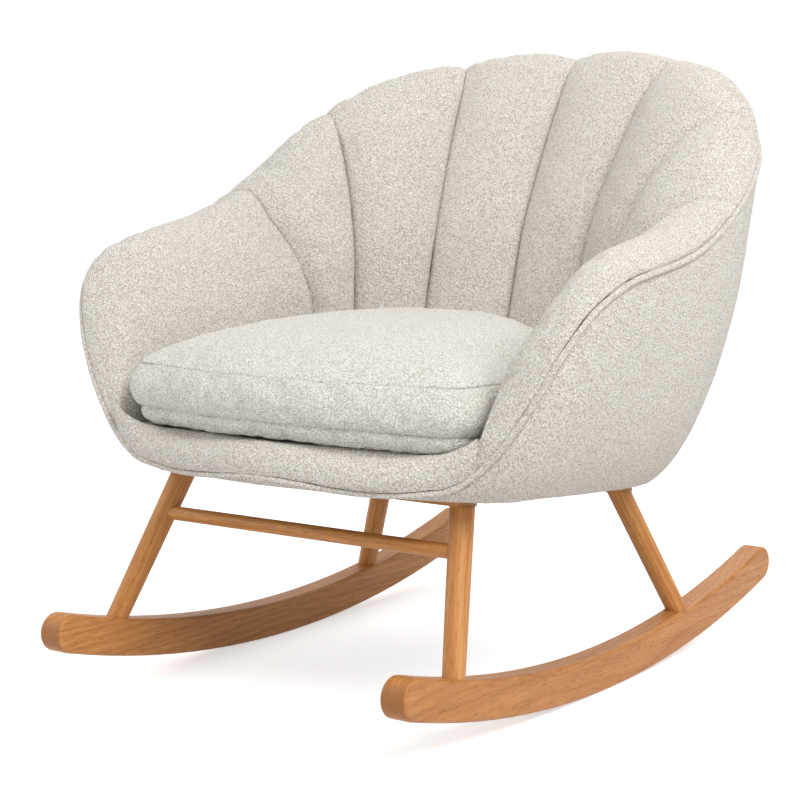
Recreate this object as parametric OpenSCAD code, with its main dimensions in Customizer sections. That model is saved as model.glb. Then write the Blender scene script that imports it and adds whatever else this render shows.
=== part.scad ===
// Upholstered tub rocking chair: a channelled tub on a splayed timber base with two bent rockers.
// The chair faces -Y and its rockers touch the floor at the origin.
// The tub is drawn upright in its own frame and leans back about the X axis as one piece.

/* [Rockers] */
// Radius of the rocker's underside
rocker_r = 1569; // [1300:1:2000]
// Overall length of a rocker, nose to nose
rocker_len = 874; // [760:1:960]
// Depth of the rocker bar from top to underside
rocker_h = 46; // [36:1:56]
// Width of the rocker bar
rocker_w = 33; // [26:1:42]
// Distance from the chair's middle to a rocker's middle
rocker_x = 244.4; // [225:0.1:270]
// Rounding of the rocker's long edges
rocker_edge_r = 5; // [3:0.5:8]

/* [Legs] */
// Diameter of a leg at its top
leg_top_d = 30; // [24:0.5:36]
// Diameter of a leg at its foot
leg_foot_d = 25.5; // [22:0.5:30]
// Place of a front leg's foot along the rocker
front_foot_y = -322; // [-345:1:-290]
// Place of a rear leg's foot along the rocker
rear_foot_y = 191; // [170:1:215]
// Height at which the two leg spreads below are given
spread_z = 301; // [280:1:320]
// Front leg's distance from the middle at that height
front_spread_x = 191; // [180:1:200]
// Front leg's place front to back at that height
front_spread_y = -221; // [-235:1:-205]
// Rear leg's distance from the middle at that height
rear_spread_x = 144; // [138:1:152]
// Rear leg's place front to back at that height
rear_spread_y = 125; // [115:1:135]
// Diameter of the round tenons on both ends of a leg
tenon_d = 18; // [14:0.5:20]
// Depth of the sockets in the rockers
socket_depth = 24; // [18:1:32]
// Diameter of the stretcher between the front legs
stretcher_d = 17; // [13:0.5:20]
// Height of the stretcher's middle
stretcher_z = 204; // [170:1:220]
// Depth to which the stretcher's ends enter the legs
stretcher_depth = 11; // [8:0.5:12]

/* [Cross rails] */
// Thickness of the rails under the seat
rail_t = 14; // [12:0.5:18]
// Depth to which the front rail is let into the bottom board
front_rail_let = 8; // [5:0.5:9]
// Width of those rails
rail_w = 42; // [38:1:50]
// Length of the front rail beyond the middle of the leg's tenon
front_rail_over = 15; // [13:1:18]
// Length of the rear rail beyond the middle of the leg's tenon
rear_rail_over = 20; // [16:1:24]
// Distance of the rail bolts from the chair's middle
bolt_x = 90; // [60:1:120]
// Diameter of a rail bolt
bolt_d = 8; // [6:0.5:10]

/* [Tub outside] */
// Angle at which the whole tub leans back
recline = 5; // [3:0.5:6]
// Height of the tub's underside in the leaning frame
tub_z = 236; // [230:1:245]
// Width over the tub at the reference height
tub_w = 766; // [740:1:800]
// Height of the level at which the tub's sizes are given
ref_z = 500; // [480:1:520]
// Place of the tub's middle axis front to back
tub_y = -60; // [-70:1:-50]
// Reach of the tub behind its axis
back_reach = 324; // [310:1:340]
// Reach of the tub in front of its axis at the corners
front_reach = 296; // [285:1:305]
// How far the front edge bows out beyond the corners
front_bow = 40; // [20:1:50]
// How far the sides draw in towards the underside
side_tuck = 114; // [90:1:125]
// How far the front draws in towards the underside
front_tuck = 36; // [20:1:45]
// Height over which the sides and front draw in
tuck_h = 300; // [240:5:320]
// Outward slope of the sides for each unit of height
side_flare = 0.06; // [0.02:0.01:0.1]
// Outward slope of the back for each unit of height
back_lean = 0.2; // [0.1:0.01:0.25]
// Squareness of the plan in front of the axis
front_square = 6.5; // [5:0.1:8]
// Squareness of the plan behind the axis
back_square = 2.3; // [2:0.05:2.6]
// Thickness of the outer cover with its lining
cover_t = 4; // [3:0.5:6]
// Rounding where the cover turns under the seat
hem_r = 12; // [8:1:18]
// Width of the cover that is turned under the seat
hem_w = 8; // [5:1:9]

/* [Rim] */
// Height of the piping along the front
welt_front_z = 246; // [242:1:250]
// Height of the piping along the arms
welt_arm_z = 484; // [470:1:500]
// Height of the piping behind the top
welt_back_z = 786; // [770:1:805]
// Diameter of the piping
welt_d = 7; // [5:0.5:9]
// Height of the arm's front end above its piping
nose_rise = 62; // [54:1:70]
// Height of the arm's roll above its piping
arm_roll_rise = 51; // [40:1:62]
// Height of the roll above its piping where the arm meets the back
dip_rise = 16; // [-6:1:24]
// Height of the roll above its piping at the back's shoulders
shoulder_rise = 52; // [38:1:54]
// Height of the roll above its piping behind the middle
back_roll_rise = 14; // [8:1:16]
// Distance from the piping in to the top of the arm's roll
arm_roll_in = 42; // [34:1:50]
// Distance from the piping in to the top of the back's roll
back_roll_in = 48; // [36:1:54]

/* [Tub inside] */
// Width of the seat well between the arms
well_w = 484; // [470:1:500]
// Outward slope of the arms' insides towards the front
well_splay = 0.05; // [0:0.01:0.08]
// Reach of the seat well behind the tub's axis, at the well's level
well_back = 191; // [184:1:200]
// Height of that level
well_z = 430; // [410:1:450]
// Slope of the inside of the back for each unit of height
well_lean = 0.2; // [0.15:0.01:0.25]
// Height over which an arm's inside rounds down into the well
arm_face_h = 155; // [130:1:180]
// Height over which the back's inside rounds down into the well
back_face_h = 260; // [230:1:290]
// Fullness of that rounding
face_square = 1.6; // [1.3:0.05:1.8]
// How far the middle of a back channel stands out of its seams
channel_rise = 15; // [8:0.5:20]
// Share of that rise that is left at the top of the roll
top_rise = 0.35; // [0.1:0.05:0.6]
// Padding depth under the inside cover
pad_t = 28; // [22:1:34]
// Padding depth at the foot of the inside cover
pad_foot_t = 13; // [10:1:18]
// Padding depth where the inside cover meets the piping
pad_edge_t = 13; // [9:1:18]
// Top of the padded lip in front of the cushion
lip_z = 287; // [284:0.5:290]
// Width of the padded lip from front to back
lip_w = 72; // [60:1:84]

/* [Seat frame] */
// Thickness of the bottom board
board_t = 18; // [16:0.5:20]
// Thickness of the seat rails above the board
seat_rail_t = 20; // [18:1:22]
// Width of the opening inside the seat rails
opening_w = 410; // [380:2:430]
// Front edge of that opening
opening_front_y = -290; // [-300:1:-285]
// Rear edge of that opening
opening_back_y = 60; // [50:1:64]
// Thickness of a rib in the tub's wall
rib_t = 16; // [12:1:20]
// Height of the bent hoop that ties the ribs
hoop_h = 46; // [30:1:56]
// Thickness of the hoop
hoop_t = 6; // [4:0.5:8]
// Height of the lower hoop's bottom edge
hoop_z = 424; // [400:1:430]
// Height of the upper hoop's bottom edge
top_hoop_z = 640; // [610:1:650]
// Width of a seat strap
strap_w = 50; // [40:1:60]
// Thickness of a seat strap
strap_t = 1.4; // [1:0.1:1.6]

/* [Cushion] */
// Height of the cushion's side between its two seams
cushion_box_h = 50; // [44:1:60]
// Height of the crown above the upper seam
cushion_crown = 40; // [24:1:48]
// Extra height of the cushion's back edge for each unit of its height
cushion_wedge = 0.45; // [0:0.05:0.6]
// Height of the lower seam above the cushion's underside
cushion_under = 20; // [12:1:26]
// How far the underside draws in below the lower seam
cushion_under_in = 18; // [10:1:24]
// Squareness of the cushion's front corners
cushion_square = 8; // [5:0.5:14]
// How far the cushion's front stands behind the tub's front edge
cushion_setback = 8; // [4:1:20]
// Swell of the cushion's sides between the seams
cushion_swell = 5; // [2:0.5:7]
// Depth of the draw-in along a seam
seam_depth = 2.2; // [1:0.1:3]
// Depth of the wrap between the cushion's cover and its core
core_wrap = 20; // [16:1:26]

/* [Hidden] */

// Clearance between soft pieces and their neighbours
soft_gap = 0.4;
// Clearance of the piping above and below itself
welt_gap = 1.7;
// Clearance of the seat cushion from the arms and from the back
cushion_gap = 1.6;
// Clearance of the ribs from the cover and from the padding
rib_gap = 1;
rib_pad_gap = 2.4;
// Clearance between flat pieces that are fastened together
seat_gap = 0.1;
// Facets of small round parts and of the long rocker arcs
small_fn = 48;
arc_fn = 720;
oak = "peru";
cloth = "linen";
foam = "khaki";
ply = "burlywood";

// Angles round the tub's axis, with 0 at the front and 180 at the back
lip_end = 44;
nose_full = 48;
nose_fade = 52;
nose_end = 61;
arm_rise_start = 39;
arm_rise_end = 65.5;
back_rise_start = 66;
back_rise_span = 110;
back_rise_power = 0.9;
dip_angle = 94;
shoulder_angle = 121;
arm_back_seam = 100;
side_seam = 120;
lower_hoop_start = 64;
upper_hoop_start = 134;
// The inner pair of seams fans out towards the top
fan_seam_low = 145.5;
fan_seam_high = 152.5;
fan_low_z = 430;
fan_high_z = 742;
rib_angles = [67, 88, 110, 136, 160];

// Levels in the leaning frame
board_z = tub_z + 1.5;
seat_rail_z = board_z + board_t;
strap_z = seat_rail_z + seat_rail_t;
// Distance from the tub's front in to the top of the lip's rounding
lip_top_in = 26;
deck_z = strap_z + 2 * strap_t + 2 * soft_gap;
cushion_z = lip_z + 2 * soft_gap;
function rail_low(rear) = tub_z - seat_gap - rail_t + (rear ? 0 : front_rail_let);

function clamp01(x) = min(1, max(0, x));
function from_front(f) = abs(f) > 180 ? 360 - abs(f) : abs(f);
function smooth(x) = let(c = clamp01(x)) c * c * (3 - 2 * c);
function mix(a, b, k) = a + (b - a) * k;

// Rocker geometry in the world frame
rocker_mid_r = rocker_r - rocker_h / 2;
rocker_half_angle = asin((rocker_len / 2 - rocker_h / 2) / rocker_mid_r);
function rocker_top(y) = rocker_r - sqrt(pow(rocker_r - rocker_h, 2) - y * y);
function leg_foot(side, rear) =
    let(y = rear ? rear_foot_y : front_foot_y) [side * rocker_x, y, rocker_top(y)];
function leg_head(side, rear) = rear ? [side * rear_spread_x, rear_spread_y, spread_z]
                                     : [side * front_spread_x, front_spread_y, spread_z];
function on_leg(side, rear, z) =
    let(a = leg_foot(side, rear), b = leg_head(side, rear)) a + (b - a) * (z - a[2]) / (b[2] - a[2]);

// Place on a leg's axis at a level of the leaning frame, given in that frame
function leaning(p) = [p[0], p[1] * cos(recline) - p[2] * sin(recline),
                       p[1] * sin(recline) + p[2] * cos(recline)];
function leg_at_level(side, rear, level) =
    let(a = leaning(leg_foot(side, rear)), b = leaning(leg_head(side, rear)))
    a + (b - a) * (level - a[2]) / (b[2] - a[2]);
front_rail_y = leg_at_level(1, false, rail_low(false) + rail_t / 2)[1];
rear_rail_y = leg_at_level(1, true, rail_low(true) + rail_t / 2)[1];
front_rail_x = leg_at_level(1, false, rail_low(false) + rail_t / 2)[0] + front_rail_over;
rear_rail_x = leg_at_level(1, true, rail_low(true) + rail_t / 2)[0] + rear_rail_over;

// Outer surface of the tub: one plan curve whose size changes with the height
function tuck(z) = let(u = clamp01((tub_z + tuck_h - z) / tuck_h)) 1 - sqrt(1 - u * u);
function hem(z) = let(u = clamp01((tub_z + hem_r - z) / hem_r)) hem_r * (1 - sqrt(1 - u * u));
function side_size(z) = tub_w / 2 + side_flare * (z - ref_z) - side_tuck * tuck(z) - hem(z);
function back_size(z) = back_reach + back_lean * (z - ref_z) - hem(z);
function front_size(z, f) =
    front_reach + front_bow * max(0, cos(2 * f)) - front_tuck * tuck(z) - hem(z);
function oval(f, a, b, n) = pow(pow(abs(sin(f)) / a, n) + pow(abs(cos(f)) / b, n), -1 / n);
function wall_r(f, z, inset) = cos(f) > 0
    ? oval(f, side_size(z) - inset, front_size(z, f) - inset, front_square)
    : oval(f, side_size(z) - inset, back_size(z) - inset, back_square);
function at(f, r, z) = [r * sin(f), tub_y - r * cos(f), z];
function wall_pt(f, z, inset) = at(f, wall_r(f, z, inset), z);

// Height of the piping round the rim, and the room it takes above and below itself
function back_rise(f) =
    smooth(pow(max(0, (from_front(f) - back_rise_start) / back_rise_span), back_rise_power));
function welt_z(f) = welt_front_z
    + (welt_arm_z - welt_front_z)
      * smooth((from_front(f) - arm_rise_start) / (arm_rise_end - arm_rise_start))
    + (welt_back_z - welt_arm_z) * back_rise(f);
function welt_slope(f) =
    let(a = wall_pt(f - 0.5, welt_z(f - 0.5), 0), b = wall_pt(f + 0.5, welt_z(f + 0.5), 0))
    (b[2] - a[2]) / norm([b[0] - a[0], b[1] - a[1]]);
function welt_room(f) = (welt_d / 2 + welt_gap) * sqrt(1 + pow(welt_slope(f), 2));

// The outer cover is straight between its levels, so what lies against its inside follows them
cover_levels = 5;
cover_spread = 1.7;
function cover_level(f, i, low) = mix(low, welt_z(f) - welt_room(f), pow(i / cover_levels, cover_spread));
function lining_r(f, z, inset) =
    let(low = tub_z + cover_t, share = clamp01((z - low) / (welt_z(f) - welt_room(f) - low)),
        i = min(cover_levels - 1, floor(cover_levels * pow(share, 1 / cover_spread))),
        z0 = cover_level(f, i, low), z1 = cover_level(f, i + 1, low))
    mix(wall_r(f, z0, inset), wall_r(f, z1, inset), (z - z0) / (z1 - z0));

// Top of the roll inside the piping
function roll_rise(g) =
    g < nose_full ? mix(lip_z - welt_front_z, nose_rise, smooth((g - lip_end) / (nose_full - lip_end)))
    : g < nose_end ? mix(nose_rise, arm_roll_rise, smooth((g - nose_fade) / (nose_end - nose_fade)))
    : g < dip_angle ? mix(arm_roll_rise, dip_rise, smooth((g - nose_end) / (dip_angle - nose_end)))
    : g < shoulder_angle ? mix(dip_rise, shoulder_rise, smooth((g - dip_angle) / (shoulder_angle - dip_angle)))
    : mix(shoulder_rise, back_roll_rise, smooth((g - shoulder_angle) / (180 - shoulder_angle)));
function crest_z(f) = welt_z(f) + roll_rise(from_front(f));

// Inside of the seat well
function well_r(f, z) = cos(f) > 0 ? well_w / 2 / (abs(sin(f)) - well_splay * cos(f))
    : oval(f, well_w / 2, well_back + well_lean * (z - well_z), 2);
function roll_in(f) = let(depth = wall_r(f, crest_z(f), 0) - well_r(f, lip_z))
    min(mix(arm_roll_in, back_roll_in, smooth((from_front(f) - 90) / 70)), depth / 2);
function face_h(f) = mix(arm_face_h, back_face_h, smooth((from_front(f) - 80) / 80));
function face_drop(v) = pow(1 - pow(1 - clamp01(v), face_square), 1 / face_square);

// Section of the padding at angle f. Along t it runs from the piping at 0 over the roll's top
// at 1 and down the inside to its foot at 2. Depth under the cover is e at the roll and on the
// face, e_foot at the foot and e_edge at the piping.
function inside_pt(f, t, e, e_foot, e_edge, foot_z) =
    let(zc = crest_z(f) - e, rc = wall_r(f, crest_z(f), roll_in(f)), zw = welt_z(f) + welt_room(f))
    t <= 1 ? let(z = mix(zw, zc, sin(90 * t)),
                 rw = wall_r(f, zw, e_edge))
             at(f, mix(rc, rw, cos(90 * t)), z)
           : let(h = (zc - foot_z) * pow(t - 1, 1.6), z = zc - h,
                 ri = well_r(f, z) + mix(e, e_foot, smooth((well_z - z) / 90)),
                 r = rc - (rc - ri) * face_drop(h / min(face_h(f), zc - foot_z)))
             at(f, r, z);

// Swell of a back channel: u runs across it and t along the section
function swell(u, t, top) =
    let(full = channel_rise * pow(sin(180 * u), 0.7),
        amount = full * (t < 1 ? t * top : mix(top, 1, smooth((t - 1) * 3))))
    t < 1 ? [amount * cos(90 * t), amount * sin(90 * t)]
          : let(a = 90 + 90 * smooth((t - 1) * 2)) [amount * cos(a), amount * sin(a)];

// Seams of the back, counted from the chair's right arm to its left arm
function fan_seam(z) =
    mix(fan_seam_low, fan_seam_high, clamp01((z - fan_low_z) / (fan_high_z - fan_low_z)));
function seam_angle(k, z) = k > 3 ? 360 - seam_angle(6 - k, z)
    : k == 0 ? arm_back_seam : k == 1 ? side_seam : k == 2 ? fan_seam(z) : 180;

// Solid between two skins, given as rows of points. Each row holds a loop: the outer skin from
// start to end, then the inner skin back from end to start.
module loft(rows, closed = false) {
    n = len(rows[0]);
    m = len(rows);
    half = n / 2;
    last = closed ? m : m - 1;
    sides = [for (i = [0 : last - 1], j = [0 : n - 1])
        let(a = i * n + j, b = i * n + (j + 1) % n, c = ((i + 1) % m) * n + (j + 1) % n,
            d = ((i + 1) % m) * n + j)
        each [[a, b, c], [a, c, d]]];
    caps = closed ? [] : [for (j = [0 : half - 2])
        let(k = n - 1 - j, e = (m - 1) * n)
        each [[j, k, k - 1], [j, k - 1, j + 1], [e + j, e + j + 1, e + k - 1], [e + j, e + k - 1, e + k]]];
    polyhedron(points = [for (r = rows) each r], faces = concat(sides, caps), convexity = 10);
}

// Rounded rectangle made of true arcs
module rounded(w, h, r) {
    square([w - 2 * r, h], center = true);
    square([w, h - 2 * r], center = true);
    for (x = [-1, 1], y = [-1, 1])
        translate([x * (w / 2 - r), y * (h / 2 - r)]) circle(r, $fn = small_fn);
}

// Puts a child that is drawn on the +X side on its own side
module on_side(side) {
    mirror([side > 0 ? 0 : 1, 0, 0]) children();
}

module lean() {
    rotate([-recline, 0, 0]) children();
}

// Puts a child that stands on Z along the line from a to b
seam_turn = 37;
module along(a, b) {
    d = b - a;
    translate(a) rotate([0, acos(d[2] / norm(d)), atan2(d[1], d[0])]) rotate(seam_turn) children();
}

// Rocker: a bent bar with round noses and a blind socket for each leg
nose_step = 0.1;
module rocker_nose() {
    rotate([0, 90, 0]) rotate([0, 0, rocker_half_angle]) translate([rocker_mid_r, 0, 0])
        rotate_extrude($fn = small_fn)
            intersection() {
                rounded(rocker_h - nose_step, rocker_w - nose_step, rocker_edge_r);
                translate([0, -rocker_w]) square([rocker_h, 2 * rocker_w]);
            }
}

module rocker(side) {
    color(oak) on_side(side) difference() {
        translate([rocker_x, 0, rocker_r]) {
            rotate([0, 90, 0]) rotate([0, 0, -rocker_half_angle])
                rotate_extrude(angle = 2 * rocker_half_angle, $fn = arc_fn)
                    translate([rocker_mid_r, 0]) rounded(rocker_h, rocker_w, rocker_edge_r);
            rocker_nose();
            mirror([0, 1, 0]) rocker_nose();
        }
        for (rear = [false, true])
            along(leg_foot(1, rear), leg_head(1, rear))
                translate([0, 0, -socket_depth])
                    cylinder(h = 2 * socket_depth, d = tenon_d + 2 * seat_gap, $fn = small_fn);
    }
}

// Leg: a tapered round post, scribed to the rocker below and the rail above, with two tenons
module leg(side, rear) {
    foot = leg_foot(1, rear);
    head = leg_head(1, rear);
    span = norm(head - foot);
    bottom = leg_at_level(1, rear, rail_low(rear));
    top = leg_at_level(1, rear, rail_low(rear) + rail_t - seat_gap);
    slope = (leg_top_d - leg_foot_d) / span;
    spare = 30;
    color(oak) on_side(side) difference() {
        union() {
            intersection() {
                along(foot, head) translate([0, 0, -spare])
                    cylinder(h = span + 2 * spare, d1 = leg_foot_d - slope * spare,
                             d2 = leg_top_d + slope * spare, $fn = small_fn);
                translate([rocker_x, 0, rocker_r]) rotate([0, 90, 0])
                    cylinder(h = 6 * leg_top_d + 2 * abs(head[0] - foot[0]), r = rocker_r - rocker_h - seat_gap,
                             center = true, $fn = arc_fn);
                lean() translate([0, 0, rail_low(rear) - seat_gap - rocker_r])
                    linear_extrude(rocker_r) square(2 * rocker_len, center = true);
            }
            along(foot, head) translate([0, 0, seat_gap - socket_depth])
                cylinder(h = socket_depth + rocker_h / 2, d = tenon_d, $fn = small_fn);
            lean() intersection() {
                along(bottom - (top - bottom), top + (top - bottom))
                    cylinder(h = 3 * norm(top - bottom), d = tenon_d, $fn = small_fn);
                translate([0, 0, bottom[2] - rail_t]) linear_extrude(top[2] - bottom[2] + rail_t)
                    square(2 * rocker_len, center = true);
            }
        }
        if (!rear) stretcher_bar(2 * seat_gap, 0);
    }
}

// Bar between the front legs; the legs are drilled with the same bar, a clearance larger
module stretcher_bar(extra, shorter) {
    end = on_leg(1, false, stretcher_z);
    reach = end[0] - leg_top_d / 2 + stretcher_depth - shorter;
    translate([0, end[1], stretcher_z]) rotate([0, 90, 0])
        cylinder(h = 2 * reach, d = stretcher_d + extra, center = true, $fn = small_fn);
}

module front_stretcher() {
    color(oak) stretcher_bar(0, seat_gap);
}

// Rail under the seat, drilled for the leg tenons and countersunk for its bolts
module cross_rail(rear) {
    y = rear ? rear_rail_y : front_rail_y;
    x = rear ? rear_rail_x : front_rail_x;
    color(oak) lean() difference() {
        translate([0, y, rail_low(rear)]) linear_extrude(rail_t) rounded(2 * x, rail_w, rail_w / 2 - 1);
        for (side = [-1, 1]) on_side(side) {
            low = leg_at_level(1, rear, rail_low(rear) - rail_t);
            high = leg_at_level(1, rear, rail_low(rear) + 2 * rail_t);
            along(low, high)
                cylinder(h = norm(high - low), d = tenon_d + 2 * seat_gap, $fn = small_fn);
            translate([bolt_x, y, 0]) bolt_shape(rail_low(rear), 2 * seat_gap);
        }
    }
}

// Countersunk bolt from the rail's underside to the top of its tee nut
bolt_head_d = 2 * bolt_d;
bolt_head_h = bolt_d / 2;
nut_flange_t = 1.5;
nut_flange_d = 22;
nut_barrel_d = bolt_d + 3;
nut_barrel_h = 9;
module bolt_shape(low, extra) {
    translate([0, 0, low]) {
        cylinder(h = bolt_head_h, d1 = bolt_head_d + extra, d2 = bolt_d + extra, $fn = small_fn);
        cylinder(h = seat_rail_z - seat_gap - low, d = bolt_d + extra, $fn = small_fn);
    }
}

bolt_places = [for (rear = [false, true], side = [-1, 1])
    [side * bolt_x, rear ? rear_rail_y : front_rail_y, rail_low(rear)]];

module rail_bolts() {
    color("silver") lean() for (p = bolt_places) translate([p[0], p[1], 0]) difference() {
        bolt_shape(p[2], 0);
        translate([0, 0, p[2] - 1]) linear_extrude(bolt_head_h) circle(d = bolt_d * 0.6, $fn = 6);
    }
}

// Tee nut let in flush with the board's top; its seat in the board is the same shape, larger
module nut_shape(extra) {
    translate([0, 0, seat_rail_z - nut_flange_t - extra])
        cylinder(h = nut_flange_t + 2 * extra, d = nut_flange_d + 2 * extra, $fn = small_fn);
    translate([0, 0, seat_rail_z - nut_barrel_h - extra])
        cylinder(h = nut_barrel_h, d = nut_barrel_d + 2 * extra, $fn = small_fn);
}

module t_nuts() {
    color("silver") lean() for (p = bolt_places) translate([p[0], p[1], 0]) difference() {
        nut_shape(0);
        translate([0, 0, seat_rail_z - 2 * nut_barrel_h])
            cylinder(h = 3 * nut_barrel_h, d = bolt_d + 2 * seat_gap, $fn = small_fn);
    }
}

// Plan of the tub's wall at one level, as a polygon
half_angles = [for (f = [0 : 7 : 35]) f, for (f = [38 : 2 : 68]) f, for (f = [74 : 6 : 176]) f, 180];
angles = concat(half_angles, [for (i = [len(half_angles) - 2 : -1 : 1]) -half_angles[i]]);
module plan(z, inset) {
    polygon([for (f = angles) let(p = wall_pt(f, z, inset)) [p[0], p[1]]]);
}
module lining_plan(z, inset) {
    polygon([for (f = angles) let(p = at(f, lining_r(f, z, inset), z)) [p[0], p[1]]]);
}

cover_clear = cover_t + soft_gap;
hoop_in = cover_clear + rib_gap;
module bolt_holes() {
    for (p = bolt_places) translate([p[0], p[1]]) circle(d = bolt_d + 4 * seat_gap, $fn = small_fn);
}

module front_rail_plan(extra) {
    translate([0, front_rail_y]) rounded(2 * front_rail_x + extra, rail_w + extra, (rail_w + extra) / 2 - 1);
}

module dust_cover() {
    color("dimgray") lean() translate([0, 0, tub_z]) linear_extrude(board_z - tub_z - seat_gap)
        difference() {
            plan(tub_z, hem_w + soft_gap);
            bolt_holes();
            front_rail_plan(2 * soft_gap);
        }
}

// Board with a rebate for the turned-in cover
module bottom_board() {
    color(ply) lean() difference() {
        translate([0, 0, board_z]) linear_extrude(board_t) plan(tub_z, hem_w + 2 * soft_gap);
        translate([0, 0, board_z - 1]) linear_extrude(board_t + 2) bolt_holes();
        translate([0, 0, board_z - rail_t]) linear_extrude(rail_low(false) + 2 * rail_t - board_z + seat_gap)
            front_rail_plan(2 * soft_gap);
        for (p = bolt_places) translate([p[0], p[1], 0]) nut_shape(seat_gap);
    }
}

// Four seat rails cut from one ring by their butt joints
module seat_ring() {
    lean() translate([0, 0, seat_rail_z]) linear_extrude(seat_rail_t)
        difference() {
            intersection() {
                lining_plan(seat_rail_z, cover_clear);
                children();
            }
            translate([-opening_w / 2, opening_front_y])
                square([opening_w, opening_back_y - opening_front_y]);
        }
}

// The front rail stands back from the cover by the depth of the padded lip
module front_seat_rail() {
    color(ply) seat_ring() intersection() {
        plan(seat_rail_z, lip_top_in + soft_gap);
        translate([-tub_w, opening_front_y - tub_w]) square([2 * tub_w, tub_w]);
    }
}

module rear_seat_rail() {
    color(ply) seat_ring() translate([-tub_w, opening_back_y]) square([2 * tub_w, tub_w]);
}

module side_seat_rail(side) {
    color(ply) seat_ring() translate([side > 0 ? 0 : -tub_w, opening_front_y])
        square([tub_w, opening_back_y - opening_front_y]);
}

module corner_blocks() {
    leg_l = 60;
    color(ply) lean() translate([0, 0, seat_rail_z]) linear_extrude(seat_rail_t)
        for (side = [-1, 1]) {
            x = side * opening_w / 2;
            polygon([[x, opening_front_y], [x - side * leg_l, opening_front_y], [x, opening_front_y + leg_l]]);
            polygon([[x, opening_back_y], [x - side * leg_l, opening_back_y], [x, opening_back_y - leg_l]]);
        }
}

// Straps: one set runs front to back on the rails, the other lies across it
front_lap = 22;
rear_lap = 22;
strap_count = 4;
module strap_room() {
    polygon([for (f = angles) let(behind = well_r(f, lip_z) - channel_rise - 3 * soft_gap,
                                  r = abs(f) < arm_back_seam - 6 ? tub_w : behind)
        [r * sin(f), tub_y - r * cos(f)]]);
}

module long_seat_straps() {
    pitch = (opening_w - strap_w) / (strap_count - 1) * 0.86;
    color("darkolivegreen") lean() translate([0, 0, strap_z]) linear_extrude(strap_t) intersection() {
        strap_room();
        for (i = [0 : strap_count - 1])
            translate([(i - (strap_count - 1) / 2) * pitch - strap_w / 2, opening_front_y - front_lap])
                square([strap_w, opening_back_y - opening_front_y + front_lap + rear_lap]);
    }
}

module cross_seat_straps() {
    first = opening_front_y + 20;
    pitch = (opening_back_y - opening_front_y - 40 - strap_w) / (strap_count - 1);
    color("darkolivegreen") lean() translate([0, 0, strap_z + strap_t + seat_gap]) linear_extrude(strap_t)
        intersection() {
            strap_room();
            for (i = [0 : strap_count - 1])
                translate([-well_w / 2 + 3, first + i * pitch]) square([well_w - 6, strap_w]);
        }
}

// Deck pad under the cushion, from the lip to the back
module seat_deck_pad() {
    color(foam) lean() translate([0, 0, deck_z]) linear_extrude(lip_z - deck_z)
        polygon([for (f = angles) let(r = abs(f) < lip_end
            ? wall_r(f, lip_z, lip_w + soft_gap)
            : min(well_r(f, lip_z) - 3 * soft_gap - (abs(f) > arm_back_seam ? channel_rise : 0),
                  wall_r(f, lip_z, lip_w + soft_gap))) [r * sin(f), tub_y - r * cos(f)]]);
}

// Rib: a ply plate that fills the tub's wall between the outer cover and the padding. Its outline
// is what the wall leaves free on both faces of the plate, less a notch for each hoop.
rib_steps = 14;
skin_n = 12;
module rib_outline(f) {
    under_roll = crest_z(f) - pad_t - rib_pad_gap;
    top = min(welt_z(f) - welt_room(f) - rib_gap, under_roll);
    polygon(concat(
        [for (i = [0 : rib_steps]) let(z = mix(strap_z, top, i / rib_steps))
            [lining_r(f, z, cover_clear + rib_gap), z]],
        [for (i = [0 : skin_n - 1])
            let(p = inside_pt(f, 2 * i / (skin_n - 1), pad_t + rib_pad_gap, pad_foot_t + rib_pad_gap,
                              pad_edge_t + rib_pad_gap, strap_z))
            [norm([p[0], p[1] - tub_y]), min(p[2], under_roll)]]));
}

module hoop_notch(f, z) {
    low = z - rib_gap;
    high = z + hoop_h + rib_gap;
    depth = hoop_in + hoop_t + rib_gap;
    polygon([[lining_r(f, low, depth), low], [lining_r(f, high, depth), high],
             [wall_r(f, high, -hoop_t), high], [wall_r(f, low, -hoop_t), low]]);
}

module rib(f) {
    turn = rib_t / 2 / wall_r(f, ref_z, 0) * 180 / PI;
    color(ply) lean() translate([0, tub_y, 0]) rotate([90, 0, f - 90]) translate([0, 0, -rib_t / 2])
        linear_extrude(rib_t) difference() {
            intersection() {
                rib_outline(f - turn);
                rib_outline(f + turn);
            }
            for (g = [f - turn, f + turn]) {
                hoop_notch(g, hoop_z);
                if (abs(f) > upper_hoop_start) hoop_notch(g, top_hoop_z);
            }
        }
}

// Hoop: a bent strip between the outer cover and the ribs
module hoop(z, start) {
    fs = [for (f = half_angles) if (f >= start) f];
    round_back = concat(fs, [for (i = [len(fs) - 2 : -1 : 0]) 360 - fs[i]]);
    function on_lining(f, level, inset) = at(f, lining_r(f, level, inset), level);
    color(ply) lean() loft([for (f = round_back)
        [on_lining(f, z, hoop_in), on_lining(f, z + hoop_h, hoop_in),
         on_lining(f, z + hoop_h, hoop_in + hoop_t), on_lining(f, z, hoop_in + hoop_t)]]);
}

// Outer cover: one skin from the turned-in hem to the piping, all round the tub
module outer_cover() {
    color(cloth) lean() loft([for (f = angles)
        concat([wall_pt(f, tub_z, hem_w)],
               [for (i = [0 : cover_levels]) wall_pt(f, cover_level(f, i, tub_z), 0)],
               [for (i = [cover_levels : -1 : 0])
                   wall_pt(f, cover_level(f, i, tub_z + cover_t), cover_t)],
               [wall_pt(f, tub_z + cover_t, hem_w)])], closed = true);
}

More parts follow.
